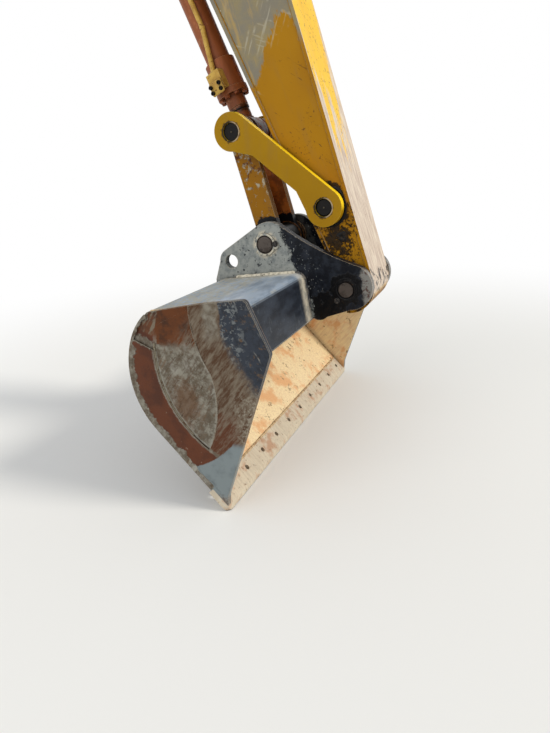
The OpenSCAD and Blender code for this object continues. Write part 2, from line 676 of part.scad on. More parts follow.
// Raised rings round the pins, each with a boss for the keeper bolt
module ear_rings(y0, y1) {
    cut_slab(y0, y1) {
        circle(58);
        spot([42, -52], 15);
        circle(bore_r);
    }
    cut_slab(y0, y1) {
        spot(ear_link_at, 54);
        spot(ear_link_at - [56, 4], 17);
        spot(ear_link_at, bore_r);
    }
}
module ear(side) color("black") in_bucket() {
    difference() {
        cut_slab(side > 0 ? ear_in_y : -ear_out_y, side > 0 ? ear_out_y : -ear_in_y) {
            spot(ear_tip_c, ear_tip_r);
            spot(ear_top_c, ear_top_r);
            spot(lifting_at, lifting_r);
            spot(ear_lobe_c, ear_lobe_r);
            polygon(ear_region);
            ear_cuts();
        }
        slab(-bucket_y, bucket_y) spot(ear_edge_c, ear_edge_r);
        wrap(-bucket_y, bucket_y, 0, 0, 300, [back_top, back_top + 200 * left(dir(back_angle))]);
    }
    ear_rings(side > 0 ? ear_out_y : -ear_out_y - ear_ring, side > 0 ? ear_out_y + ear_ring : -ear_out_y);
}
module ear_left() ear(1);
module ear_right() ear(-1);

stick_web_left();
stick_web_right();
stick_front_plate();
stick_rear_plate();
tip_boss();
idler_boss();
boom_boss();
boom_doublers();
crown_bosses();
bracket_left();
bracket_right();
base_pin();
idler_pin();
barrel();
cylinder_head();
pipe();
pipe_clamp();
port_block();
base_port();
rod();
rod_eye();
link_pin_middle();
side_link_left();
side_link_right();
link_pin_ends();
h_link();
link_pin_sleeves();
bucket_pin();
ear_link_pin();
bucket_shell();
side_plate_left();
side_plate_right();
side_wear_left();
side_wear_right();
lip();
top_beam();
beam_floor();
ear_left();
ear_right();
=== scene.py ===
"""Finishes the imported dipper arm, bucket cylinder, curl linkage and ditch bucket.

Lengths are metres and places are in the row frame: the boom pivot's centre is the origin, +X is
forward, +Y is the machine's left and +Z is up. Every piece lies in its mesh, with its object at the origin.
"""

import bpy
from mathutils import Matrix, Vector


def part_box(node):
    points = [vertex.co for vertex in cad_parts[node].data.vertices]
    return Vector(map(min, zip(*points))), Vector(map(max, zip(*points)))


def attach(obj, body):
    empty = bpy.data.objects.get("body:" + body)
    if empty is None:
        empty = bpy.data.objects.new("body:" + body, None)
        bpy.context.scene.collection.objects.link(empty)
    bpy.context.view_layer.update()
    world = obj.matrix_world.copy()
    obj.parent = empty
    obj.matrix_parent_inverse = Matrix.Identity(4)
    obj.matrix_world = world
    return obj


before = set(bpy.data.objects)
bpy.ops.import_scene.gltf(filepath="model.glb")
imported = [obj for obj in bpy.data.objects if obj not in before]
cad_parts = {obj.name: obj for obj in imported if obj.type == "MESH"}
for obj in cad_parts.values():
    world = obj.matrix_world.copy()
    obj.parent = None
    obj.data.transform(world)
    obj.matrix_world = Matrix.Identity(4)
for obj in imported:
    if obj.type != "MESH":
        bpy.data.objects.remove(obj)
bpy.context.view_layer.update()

import math

import bmesh
import bpy
import numpy as np
from bpy.props import FloatProperty, FloatVectorProperty, IntProperty, PointerProperty
from bpy.types import Operator, Panel, PropertyGroup
from mathutils import Matrix, Vector

bl_info = {
    "name": "Dipper arm and ditch bucket finish",
    "version": (1, 0, 0),
    "blender": (4, 5, 0),
    "location": "3D View > Sidebar > Dipper Arm",
    "description": "Paints, welds, bolts and soils a packed dipper arm with its bucket",
    "category": "Object",
}


# Places and sizes, read from the frame
def centre(node):
    """The middle of a node's box."""
    low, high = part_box(node)
    return np.array((low + high) / 2)


def heading(start, end):
    """The unit direction from start to end, and its turn about +Y away from +Z."""
    way = (end - start) / np.linalg.norm(end - start)
    return way, math.atan2(way[0], way[2])


BUCKET_PIN = centre("bucket_pin")
EAR_LINK = centre("ear_link_pin")
IDLER = centre("idler_pin")
LINK = centre("link_pin_middle")
BASE = centre("base_pin")
BOOM = centre("boom_boss")
ARM_UP, ARM_LEAN = heading(BUCKET_PIN, BOOM)
ARM_OUT = np.array([ARM_UP[2], 0.0, -ARM_UP[0]])
ARM_LENGTH = float(np.linalg.norm(BOOM - BUCKET_PIN))
ROD_DOWN, ROD_LEAN = heading(BASE, LINK)
ROD_REAR = np.array([ROD_DOWN[2], 0.0, -ROD_DOWN[0]])
ROD_REACH = float(np.linalg.norm(LINK - BASE))
H_UP, H_LEAN = heading(EAR_LINK, LINK)
H_OUT = np.array([H_UP[2], 0.0, -H_UP[0]])
ACROSS = np.array([0.0, 1.0, 0.0])
WEB_Y = float(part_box("stick_web_left")[1][1])
FLANGE_Y = float(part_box("stick_rear_plate")[1][1])
EAR_IN = float(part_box("ear_left")[0][1])
RING_Y = float(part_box("ear_left")[1][1])
EAR_OUT = RING_Y - 0.009
LINK_OUT = float(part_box("side_link_left")[1][1])
SIDE_Y = float(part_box("side_plate_left")[1][1])
INNER_Y = float(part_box("side_plate_left")[0][1])
BUCKET_Y = float(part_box("lip")[1][1])
GROUND = float(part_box("lip")[0][2])
SIDES = (1, -1)
# The pins, the arm, the cylinder and the H-link, where the finish fits to them
PIN_R = 0.040
EYE_R = 0.076
NECK_R = 0.046
BARREL_R = 0.060
TUBE_R = 0.075
PIN_END = 0.2025
BASE_PIN_END = 0.1225
BOOM_FACE = 0.1745
TIP_FACE = 0.163
H_ARM_IN = 0.0865
BRACKET_IN = 0.069
BRACKET_OUT = 0.109
BRACKET_UP = 2.508
HEAD_FLANGE = ROD_REACH - 0.190
FLANGE_TURN = 97.0
PIPE_TURN = 74.0
BOLT_CIRCLE = 0.0655
# The bucket's side view, from the bucket pin
LIP_TIP = (0.329, -0.858)
FLOOR_TURN = math.radians(46.5)
LOWER_CENTRE = (0.3828, -0.2391)
LOWER_R = 0.387
UPPER_CENTRE = (0.4648, -0.2008)
UPPER_R = 0.2965
FLOOR_LONG = 0.486
CURVE_MEET = (0.7336, -0.0755)
MEET_TURN = math.radians(115.0)
BACK_TURN = math.radians(140.2)
BACK_TOP = (0.6454, 0.0346)
BEAM_CORNER = (0.211, 0.080)
BEAM_LOW = (0.173, -0.152)
BEAM_CORNER_R = 0.045
SHELL_PLATE = 0.012
LIP_DEPTH = 0.125
HEEL_CENTRE = (0.137, -0.148)
HEEL_R = 0.493
FRONT_HIGH = (-0.075, 0.065)
FRONT_HIGH_R = 0.5162
FRONT_LOW = (0.803, -0.335)
FRONT_LOW_R = 0.4569
FRONT_BEND = -0.205
LEAF_HEART = (0.498, -0.352)
# Greasy steel of the nipples, on the screen's scale
NIPPLE_TONES = ((92, 84, 70), (60, 52, 42))


def on_arm(out, up, across=0.0):
    """A place from the bucket pin: out in front of the arm's line, up along it and across it."""
    return BUCKET_PIN + out * ARM_OUT + up * ARM_UP + across * ACROSS


def in_bucket(x, z):
    """A place in the bucket's side view, from the bucket pin."""
    return BUCKET_PIN + np.array([x, 0.0, z])


def tone(red, green, blue):
    """A colour of 0 to 255 screen values as the linear colour that a socket takes."""
    screen = np.array([red, green, blue]) / 255
    linear = np.where(screen <= 0.04045, screen / 12.92, ((screen + 0.055) / 1.055) ** 2.4)
    return (*[float(v) for v in linear], 1.0)


def colour_setting(name, text, screen):
    """A colour that a user can change, by default three screen values."""
    return FloatVectorProperty(name=name, description=text, subtype="COLOR", size=4, min=0.0, max=1.0,
                               default=tone(*screen))


def length_setting(name, text, value, top):
    """A length in metres that a user can change, from nothing to top."""
    return FloatProperty(name=name, description=text, default=value, min=0.0, max=top, subtype="DISTANCE",
                         unit="LENGTH", precision=4)


def share_setting(name, text, value):
    """A share from 0 to 1 that a user can change."""
    return FloatProperty(name=name, description=text, default=value, min=0.0, max=1.0, subtype="FACTOR")


class DipperPaint(PropertyGroup):
    """Colours that a user would change"""
    arm: colour_setting("Arm", "Paint of the arm's plates", (170, 119, 3))
    arm_deep: colour_setting("Arm, deep", "Darker stains in the arm's paint", (150, 98, 4))
    # The rear plate's yellow is a painted sunlit copy of the arm's paint, lighter than the arm's colour
    flange: colour_setting("Rear plate", "Paint of the arm's rear plate", (240, 192, 34))
    primer: colour_setting("Primer", "Undercoat that shows on the webs", (134, 127, 111))
    link: colour_setting("Side links", "Paint of the side links", (168, 126, 2))
    h_link: colour_setting("H-link", "Old paint of the H-link", (158, 106, 12))
    cylinder: colour_setting("Cylinder", "Primer of the bucket cylinder", (156, 88, 48))
    pipe: colour_setting("Pipe", "Paint of the oil pipe and its blocks", (204, 166, 78))
    ear: colour_setting("Ears", "Black paint of the ears", (12, 15, 22))
    ear_worn: colour_setting("Ears, worn", "Worn grey on the ears", (156, 158, 152))
    rust: colour_setting("Rust", "Rust on the bucket's sides", (98, 55, 27))
    heel: colour_setting("Heel", "Smooth brown of the heel strips", (92, 46, 20))
    mud: colour_setting("Mud", "Dried grey mud", (142, 137, 124))
    blue: colour_setting("Bucket paint", "Dark paint left on the bucket's front", (44, 50, 60))
    floor: colour_setting("Bucket floor", "Scoured steel inside the bucket", (248, 226, 180))
    grease: colour_setting("Grease", "Old grease round the pins", (10, 9, 8))


class DipperWear(PropertyGroup):
    """Sizes and amounts that a user would change"""
    weld: length_setting("Weld", "Radius of the weld beads", 0.006, 0.012)
    mud_depth: length_setting("Mud depth", "Thickest mud on the bucket's sides", 0.007, 0.009)
    grease_depth: length_setting("Grease depth", "Height of the grease round the pins", 0.006, 0.012)
    chips: share_setting("Chips", "How far the yellow paint is chipped", 0.5)
    head_bolts: IntProperty(name="Head bolts", description="Bolts in the cylinder head's flange", default=8,
                            min=4, max=12)


def paint(name):
    """The colour that is set for a paint."""
    return tuple(getattr(bpy.context.scene.dipper_paint, name))


def wear():
    """The sizes and amounts that are set."""
    return bpy.context.scene.dipper_wear


# Surfaces as grids of points, rows by columns: most close round their columns and at both ends
def grid_faces(rows, columns, loop=False):
    """Quads between neighbours of a grid that closes round its columns, and round its rows with loop."""
    last = rows if loop else rows - 1
    i, j = np.meshgrid(np.arange(last), np.arange(columns), indexing="ij")
    over, after = (i + 1) % rows, (j + 1) % columns
    quads = np.stack([i * columns + j, i * columns + after, over * columns + after, over * columns + j], -1)
    return quads.reshape(-1, 4)


def closed_tube(rings, loop=False):
    """Rings of points as one closed surface: its ends are closed by fans about each end ring's middle.
    Gives the points and the faces, in blocks of faces with as many corners each."""
    rows, columns = rings.shape[:2]
    points = rings.reshape(-1, 3)
    quads = grid_faces(rows, columns, loop)
    if loop:
        return points, [quads]
    points = np.concatenate([points, rings[:1].mean(1), rings[-1:].mean(1)])
    here = np.arange(columns)
    after = (here + 1) % columns
    last = (rows - 1) * columns
    first_fan = np.stack([after, here, np.full(columns, rows * columns)], -1)
    last_fan = np.stack([last + here, last + after, np.full(columns, rows * columns + 1)], -1)
    return points, [quads, first_fan, last_fan]


def piece(name, parts, body, material, smooth=True):
    """One object from several closed surfaces, riding on a body, with its faces turned outward."""
    points, faces, start = [], [], 0
    for some, blocks in parts:
        points.append(some)
        for block in blocks:
            faces += (block + start).tolist()
        start += len(some)
    mesh = bpy.data.meshes.new(name)
    mesh.from_pydata(np.concatenate(points).tolist(), [], faces)
    mesh.polygons.foreach_set("use_smooth", [smooth] * len(mesh.polygons))
    mesh.materials.append(material)
    made = bpy.data.objects.new(name, mesh)
    bpy.context.scene.collection.objects.link(made)
    work = bmesh.new()
    work.from_mesh(mesh)
    bmesh.ops.recalc_face_normals(work, faces=work.faces)
    work.to_mesh(mesh)
    work.free()
    if smooth:
        mesh.set_sharp_from_angle(angle=math.radians(38))
    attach(made, body)


def coat(nodes, material):
    """Gives CAD nodes a procedural material in place of their plain one."""
    for name in nodes:
        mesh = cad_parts[name].data
        mesh.materials.clear()
        mesh.materials.append(material)


def sample(path, step):
    """Points along a polyline at even distances of about step, by its running length."""
    path = np.asarray(path, float)
    reach = np.concatenate([[0.0], np.cumsum(np.linalg.norm(np.diff(path, axis=0), axis=1))])
    count = max(3, int(reach[-1] / step) + 1)
    at = np.linspace(0.0, reach[-1], count)
    return np.stack([np.interp(at, reach, path[:, k]) for k in range(3)], -1), at


def ripple(at, pitch):
    """A weld's waves: the size of a sine of the distance, with a slower wander."""
    wander = 0.07 * np.sin(at * 41.0) + 0.05 * np.sin(at * 97.0 + 1.3)
    return 0.16 * np.abs(np.sin(np.pi * at / pitch)) + wander


def bead(path, radius, normal, step=0.003, pitch=0.008, sides=7):
    """A weld: a circle carried along the path. Its radius waves with the distance and is drawn in at
    both ends."""
    points, at = sample(path, step)
    ahead = np.gradient(points, axis=0)
    ahead /= np.linalg.norm(ahead, axis=1, keepdims=True)
    beside = np.cross(ahead, np.asarray(normal, float))
    beside /= np.linalg.norm(beside, axis=1, keepdims=True)
    above = np.cross(beside, ahead)
    size = radius * (0.9 + ripple(at, pitch))
    size *= np.clip(np.minimum(at, at[-1] - at) / (1.2 * radius) + 0.25, 0.25, 1.0) ** 0.5
    turn = np.linspace(0.0, 2 * np.pi, sides, endpoint=False)
    ring = np.cos(turn)[None, :, None] * beside[:, None] + np.sin(turn)[None, :, None] * above[:, None]
    return closed_tube(points[:, None] + size[:, None, None] * ring)


def ring_bead(middle, radius, across, size):
    """A ring weld in a plane across Y: the middle plus the radius turned from +X towards +Z, a little past
    a full turn."""
    turn = np.radians(np.linspace(0.0, 362.0, 90))
    ways = np.stack([np.cos(turn), 0.0 * turn, np.sin(turn)], -1)
    return bead(middle + across * ACROSS + radius * ways, size, ACROSS)


def lathe(profile, at, axis, sides, hexed=None):
    """Rows of (height, radius) turned about an axis. hexed marks rows whose radius follows a hexagon:
    the flat's distance over the cosine of the angle to the nearest flat."""
    profile = np.asarray(profile, float)
    axis = np.asarray(axis, float) / np.linalg.norm(axis)
    first = np.cross(axis, (0.0, 0.0, 1.0) if abs(axis[2]) < 0.9 else (1.0, 0.0, 0.0))
    first /= np.linalg.norm(first)
    second = np.cross(axis, first)
    turn = np.linspace(0.0, 2 * np.pi, sides, endpoint=False)
    flat = 1.0 / np.cos((turn + np.pi / 6) % (np.pi / 3) - np.pi / 6)
    share = np.zeros(len(profile)) if hexed is None else np.asarray(hexed, float)
    radius = profile[:, 1, None] * (1.0 + share[:, None] * (flat - 1.0))
    way = np.cos(turn)[:, None] * first + np.sin(turn)[:, None] * second
    return closed_tube(np.asarray(at, float) + profile[:, 0, None, None] * axis + radius[:, :, None] * way)


def turned_head(rows, at, axis, size, sides=24):
    """A bolt's head: rows of height, radius and 1 where the radius follows the hexagon, in thread
    diameters."""
    profile = [(high * size, radius * size) for high, radius, _ in rows]
    return lathe(profile, at, axis, sides, [row[2] for row in rows])


def hex_bolt(at, axis, size):
    """A hexagon head on a washer."""
    rows = [(-0.2, 0.5, 0), (0.0, 1.1, 0), (0.16, 1.1, 0), (0.18, 0.84, 1), (0.72, 0.84, 1), (0.84, 0.8, 0),
            (0.84, 0.3, 0)]
    return turned_head(rows, at, axis, size)


def socket_bolt(at, axis, size):
    """A round head with a hexagon socket."""
    rows = [(-0.2, 0.6, 0), (0.0, 0.78, 0), (0.82, 0.78, 0), (0.95, 0.68, 0), (0.95, 0.44, 1),
            (0.5, 0.42, 1), (0.48, 0.1, 0)]
    return turned_head(rows, at, axis, size)


def grease_nipple(at, axis, size):
    """A hexagon base with a waisted tip."""
    rows = [(-0.3, 0.8, 0), (0.0, 0.9, 1), (0.7, 0.9, 1), (0.8, 0.5, 0), (1.3, 0.4, 0), (1.5, 0.55, 0),
            (1.8, 0.45, 0), (1.95, 0.2, 0)]
    return turned_head(rows, at, axis, size, 18)


def band(at, inner, outer, thick, soft):
    """A ring about +Y: its outline of four soft corners is carried round the axis and closes on itself."""
    corner = soft * min(thick, outer - inner)
    outline = np.array([(0, inner + corner), (0, outer - corner), (corner, outer), (thick - corner, outer),
                        (thick, outer - corner), (thick, inner + corner), (thick - corner, inner),
                        (corner, inner)])
    turn = np.linspace(0.0, 2 * np.pi, 56, endpoint=False)
    ways = np.stack([np.cos(turn), 0.0 * turn, np.sin(turn)], -1)
    rings = at + outline[None, :, 1, None] * ways[:, None] + outline[None, :, 0, None] * ACROSS
    return closed_tube(rings, loop=True)


def lumps(x, y, z, seed):
    """Soft noise from -1 to 1: products of bent sines of the place at five sizes, each half as high as the
    one before."""
    found = 0.0
    for k in range(5):
        size = 11.0 * 2.1 ** k
        one = np.sin(size * x + seed + 1.7 * k + 1.6 * np.sin(size * 0.61 * z + 2.1 * k))
        two = np.sin(size * 0.9 * z + 2.3 * seed + 0.9 * k + 1.4 * np.sin(size * 0.53 * (x + y) + seed))
        found = found + 0.5 ** k * one * two
    return np.clip(found / 1.4, -1.0, 1.0)


def splat(middle, side, inner, outer, high, seed, reach):
    """Grease on a face across Y: rings about the middle, whose outer edge and height both wander. The edge
    stays inside the reach, and the height is a half sine across the rings."""
    turn = np.linspace(0.0, 2 * np.pi, 72, endpoint=False)
    edge = outer + (outer - inner) * 0.45 * lumps(np.cos(turn) * 0.21, 0.0, np.sin(turn) * 0.21, seed)
    edge = np.minimum(np.maximum(edge, inner * 1.04), reach)
    share = np.linspace(0.0, 1.0, 12)[:, None]
    radius = inner + share * (edge[None] - inner)
    x, z = radius * np.cos(turn), radius * np.sin(turn)
    dome = np.maximum(np.sin(np.pi * share), 0.0) ** 0.6
    top = high * dome * (0.6 + 0.4 * lumps(x, 0.0, z, seed + 3)) - 0.0005
    rows = np.stack([x, side * top, z], -1)
    under = np.stack([x[::-1], np.full_like(x, -side * 0.001), z[::-1]], -1)
    return closed_tube((middle + np.concatenate([rows, under])).transpose(1, 0, 2), loop=True)


def skin(top, normal, depth):
    """A crust on a plate: a grid of points raised by depth, over the same grid a millimetre inside."""
    rows, columns = depth.shape
    upper = top + normal * depth[..., None]
    under = top - normal * 0.001
    points = np.concatenate([upper.reshape(-1, 3), under.reshape(-1, 3)])
    index = np.arange(rows * columns).reshape(rows, columns)
    quads = np.stack([index[:-1, :-1], index[1:, :-1], index[1:, 1:], index[:-1, 1:]], -1).reshape(-1, 4)
    rim = np.concatenate([index[0, :], index[1:, -1], index[-1, -2::-1], index[-2:0:-1, 0]])
    after = np.roll(rim, -1)
    shift = rows * columns
    sides = np.stack([rim, after, after + shift, rim + shift], -1)
    return points, [quads, quads[:, ::-1] + shift, sides]


# Materials
class Field:
    """What a node gives over a surface. The sums, products and limits of fields are Math nodes."""

    def __init__(self, nodes, socket):
        self.nodes = nodes
        self.socket = socket

    def __add__(self, other):
        return self.nodes.calc("ADD", self, other)

    def __sub__(self, other):
        return self.nodes.calc("SUBTRACT", self, other)

    def __rsub__(self, other):
        return self.nodes.calc("SUBTRACT", other, self)

    def __mul__(self, other):
        return self.nodes.calc("MULTIPLY", self, other)

    def __or__(self, other):
        """The greater of the two."""
        return self.nodes.calc("MAXIMUM", self, other)

    def __and__(self, other):
        """The lesser of the two."""
        return self.nodes.calc("MINIMUM", self, other)

    def __abs__(self):
        return self.nodes.calc("ABSOLUTE", self)

    def __invert__(self):
        """What is left of 1."""
        return self.nodes.calc("SUBTRACT", 1.0, self, clamp=True)

    __radd__ = __add__
    __rmul__ = __mul__

    def fade(self, start, end, low=0.0, high=1.0):
        """A smooth step: low at start and high at end."""
        keys = ("Value", "From Min", "From Max", "To Min", "To Max")
        sizes = dict(zip(keys, (self, start, end, low, high)))
        return self.nodes.give("ShaderNodeMapRange", sizes, interpolation_type="SMOOTHSTEP")

    def pick(self, first, second):
        """The number first where this is 0, and second where it is 1."""
        sizes = {0: self, 2: first, 3: second}
        return self.nodes.give("ShaderNodeMix", sizes, data_type="FLOAT", clamp_factor=True)

    def lay(self, share, above):
        """Puts another colour over this one, by its share from 0 to 1."""
        self.socket = self.nodes.over(share, self, above).socket


class Place:
    """Coordinates, and the patterns that are laid out in them."""

    def __init__(self, nodes, vector):
        self.nodes = nodes
        self.vector = vector

    def parts(self):
        """The coordinates x, y and z."""
        split = self.nodes.add("ShaderNodeSeparateXYZ", {0: self.vector})
        return [Field(self.nodes, part) for part in split.outputs]

    def turned(self, degrees):
        """These coordinates, turned back about +Y."""
        sizes = {"Vector": self.vector, "Rotation": (0.0, math.radians(degrees), 0.0)}
        return Place(self.nodes, self.nodes.give("ShaderNodeMapping", sizes, vector_type="TEXTURE"))

    def noise(self, size, detail=4.0, rough=0.55, stretch=None, shift=0.0):
        """Noise with lumps about size across. stretch makes them longer: along z, or along each of three
        axes."""
        vector = self.vector
        if stretch or shift:
            times = stretch if isinstance(stretch, tuple) else (1.0, 1.0, stretch or 1.0)
            sizes = {0: vector, 1: tuple(1.0 / part for part in times), 2: (shift,) * 3}
            vector = self.nodes.give("ShaderNodeVectorMath", sizes, operation="MULTIPLY_ADD")
        sizes = {"Vector": vector, "Scale": 1.0 / size, "Detail": detail, "Roughness": rough}
        return self.nodes.give("ShaderNodeTexNoise", sizes)

    def ragged(self, size, reach, shift=0.0, stretch=None):
        """A length that wanders by about the reach either way, to tear a patch's edge."""
        return (self.noise(size, 6.0, 0.66, stretch, shift) - 0.5) * (3.2 * reach)

    def spots(self, size, cut, soft=0.03, detail=6.0, rough=0.65, **layout):
        """Patches of noise above a cut: 1 inside and 0 outside."""
        return self.noise(size, detail, rough, **layout).fade(cut, cut + soft)

    def strokes(self, lean, width, length, cut, shift=0.0):
        """Brush strokes and scratches in a plane across Y: noise drawn out along a direction and cut near
        its top, in broad patches."""
        lines = self.turned(lean).noise(width * 3, 3.0, 0.55, length, shift)
        return lines.fade(cut, cut + 0.05) * self.spots(0.12, 0.46, 0.12, 3.0, shift=shift + 3.7)


class Nodes:
    """The node tree of a material or the world, filled from nothing."""

    def __init__(self, owner):
        owner.use_nodes = True
        self.tree = owner.node_tree
        self.tree.nodes.clear()

    def add(self, kind, inputs=None, **settings):
        """A new node with its settings, and with its inputs fed by name or number."""
        node = self.tree.nodes.new(kind)
        for key, value in settings.items():
            setattr(node, key, value)
        for key, value in (inputs or {}).items():
            self.feed(node.inputs[key], value)
        return node

    def give(self, kind, inputs=None, output=0, **settings):
        """What a new node gives."""
        return Field(self, self.add(kind, inputs, **settings).outputs[output])

    def feed(self, socket, value):
        """Links a field to a socket, or sets its value. Three numbers for a colour are screen values."""
        if isinstance(value, Field):
            value = value.socket
        if isinstance(value, bpy.types.NodeSocket):
            self.tree.links.new(value, socket)
        elif socket.type == "RGBA" and len(value) == 3:
            socket.default_value = tone(*value)
        else:
            socket.default_value = value

    def calc(self, operation, *values, clamp=False):
        """What a new Math node gives."""
        return self.give("ShaderNodeMath", dict(enumerate(values)), operation=operation, use_clamp=clamp)

    def over(self, share, below, above):
        """The colour above laid over the colour below, by its share from 0 to 1."""
        sizes = {0: share, 6: below, 7: above}
        return self.give("ShaderNodeMix", sizes, output=2, data_type="RGBA", clamp_factor=True)


class Finish(Nodes, Place):
    """A node material, built from the bottom coat up. Its own patterns read Object coordinates, in
    metres."""

    def __init__(self, name):
        self.made = bpy.data.materials.new(name)
        Nodes.__init__(self, self.made)
        self.out = self.add("ShaderNodeOutputMaterial")
        self.shader = self.add("ShaderNodeBsdfPrincipled")
        self.tree.links.new(self.shader.outputs["BSDF"], self.out.inputs["Surface"])
        Place.__init__(self, self, self.add("ShaderNodeTexCoord").outputs["Object"])
        self.normal = self.add("ShaderNodeNewGeometry").outputs["Normal"]

    def framed(self, origin, lean=0.0):
        """Coordinates from origin, turned back by lean about +Y: x out, y across and z up."""
        sizes = {"Vector": self.vector, "Location": tuple(origin), "Rotation": (0.0, lean, 0.0)}
        return Place(self, self.give("ShaderNodeMapping", sizes, vector_type="TEXTURE"))

    def from_axis(self, pin, squash=1.0):
        """Distance from the axis along +Y through pin."""
        sizes = {0: self.framed(pin).vector, 1: (1.0, 0.0, squash)}
        local = self.give("ShaderNodeVectorMath", sizes, operation="MULTIPLY")
        return self.give("ShaderNodeVectorMath", {0: local}, output="Value", operation="LENGTH")

    def toward(self, normal, direction):
        """The cosine of the angle between a normal and a direction."""
        sizes = {0: normal, 1: direction}
        return self.give("ShaderNodeVectorMath", sizes, output="Value", operation="DOT_PRODUCT")

    def rounded(self, radius):
        """The normal, rounded over the edges by the radius."""
        return self.give("ShaderNodeBevel", {"Radius": radius}, samples=6)

    def rubbed(self, radius, size=0.02, least=0.55, most=0.95):
        """Wear along the edges, where the rounded normal leans from the true one, broken up by noise."""
        edges = self.toward(self.rounded(radius), self.normal).fade(1.0, 0.75)
        return (edges + self.noise(size, 5.0, 0.6, shift=7.7) * 0.6).fade(least, most)

    def corners(self, reach):
        """1 deep in a corner and 0 in the open: the mask for painted shade in corners."""
        light = self.give("ShaderNodeAmbientOcclusion", {"Distance": reach}, output="AO", samples=6)
        return light.fade(0.85, 0.25)

    def facing(self, direction):
        """How far the surface faces a direction of the row frame, from -1 to 1, turning with its body."""
        own = self.give("ShaderNodeVectorTransform", {0: self.normal}, vector_type="NORMAL",
                        convert_from="WORLD", convert_to="OBJECT")
        return self.toward(own, tuple(direction))

    def relief(self, *heights, radius=0.0):
        """Bumps from pairs of height and depth in metres, on a normal rounded at the edges by radius."""
        normal = self.rounded(radius) if radius else None
        for height, depth in heights:
            sizes = {"Height": height, "Distance": depth, "Strength": 1.0}
            if normal is not None:
                sizes["Normal"] = normal
            normal = self.give("ShaderNodeBump", sizes)
        self.feed(self.shader.inputs["Normal"], normal)

    def done(self, colour, rough, metal=0.0, spec=0.25):
        """Joins the colour and the roughness to the shader, and gives the material."""
        sizes = {"Base Color": colour, "Roughness": rough, "Metallic": metal, "Specular IOR Level": spec}
        for key, value in sizes.items():
            self.feed(self.shader.inputs[key], value)
        return self.made


def satin_paint(f, base, deep, where, wear_share):
    """Paint with soft stains, small chips down to primer and rust, and rubbed edges. Also gives what is
    bare."""
    film = f.over(where.noise(0.45, 3.0, 0.5).fade(0.35, 0.7), base, deep)
    film.lay(where.spots(0.05, 0.5, 0.25, 4.0, 0.55, stretch=5.0) * 0.16, (120, 98, 70))
    cut = f.noise(0.2, 3.0, 0.55, shift=5.1).fade(0.3, 0.75, 0.80, 0.80 - 0.30 * wear_share)
    chips = (f.noise(0.010, 5.0, 0.6) - cut).fade(0.0, 0.02)
    bare = chips | f.rubbed(0.005, 0.016, 0.62, 0.95) * 0.9
    film.lay(bare, f.over(f.spots(0.05, 0.4, 0.2, 4.0, shift=9.3), paint("primer"), (96, 50, 24)))
    return film, bare


def arm_paint():
    """Ochre paint on the arm. Primer shows on the webs above a brushed edge, the rear plate is a lighter
    yellow as painted sunlight with edges pale where the paint has worn, grease lies round the idler, and
    painted shade lies in the corners."""
    f = Finish("arm_paint")
    arm = f.framed(BUCKET_PIN, ARM_LEAN)
    film, bare = satin_paint(f, paint("arm"), paint("arm_deep"), arm, wear().chips)
    on_web = abs(f.facing(ACROSS)).fade(0.8, 0.95)
    primed = lay_primer(f, arm, film, on_web)
    lay_web_marks(f, arm, film, on_web)
    lay_rear_plate(f, arm, film, bare, on_web)
    grease, smear = lay_arm_grease(f, film, on_web)
    # Painted shade in the corners
    film.lay(f.corners(0.03) * 0.5, (64, 46, 26))
    f.relief((bare * -1.0, 0.0004), (f.noise(0.004, 3.0), 0.0002), (grease * smear, 0.003),
             (f.noise(0.35, 2.0), 0.006), radius=0.003)
    return f.done(film, grease.pick((primed | bare).pick(0.42, 0.72), 0.3), spec=0.12)


def lay_primer(f, arm, film, on_web):
    """Grey primer on the webs. Its lower edge is torn, level behind and falling towards the front."""
    out, _, up = arm.parts()
    torn = arm.ragged(0.05, 0.03, shift=1.0) + arm.ragged(0.010, 0.034, stretch=6.0)
    tongue = abs(out + 0.072).fade(0.05, 0.02) * 0.05
    above = up + torn - (1.175 + out.fade(-0.02, 0.15, 0.0, -0.17)) - tongue
    behind = (out + arm.ragged(0.03, 0.012)).fade(-0.118, -0.128) * up.fade(1.06, 1.14)
    primed = (above.fade(-0.006, 0.016) | behind) * up.fade(1.95, 1.75) * on_web
    grey = f.over(f.spots(0.14, 0.42, 0.22), paint("primer"), (150, 136, 100))
    grey.lay(arm.spots(0.03, 0.55, 0.12, stretch=9.0, shift=2.0) * 0.45, (196, 160, 88))
    brushed = (arm.strokes(-38, width=0.005, length=14.0, cut=0.56)
               | arm.strokes(52, width=0.006, length=12.0, cut=0.6, shift=4.0))
    grey.lay(brushed * above.fade(0.5, 0.1) * 0.5, (186, 178, 158))
    film.lay(primed, grey)
    near_edge = above.fade(-0.07, -0.01) * above.fade(0.22, 0.05)
    film.lay(brushed * near_edge * on_web * ~primed * 0.5, (186, 170, 130))
    return primed


def lay_web_marks(f, arm, film, on_web):
    """Dark scratches and pits low on the webs, and pale flecks above them."""
    up = arm.parts()[2]
    marks = arm.strokes(40, width=0.0025, length=9.0, cut=0.665, shift=2.0) * up.fade(1.15, 0.9) * on_web
    film.lay(marks * 0.85, (74, 50, 26))
    pits = f.spots(0.013, 0.59, 0.03, 5.0, 0.62, shift=12.0) * f.spots(0.12, 0.50, 0.1, 3.0, shift=13.0)
    film.lay(pits * on_web * up.fade(1.15, 0.9) * 0.85, (78, 50, 20))
    film.lay(f.spots(0.018, 0.70, 0.02, shift=6.0) * on_web * up.fade(0.7, 1.1), (214, 204, 178))


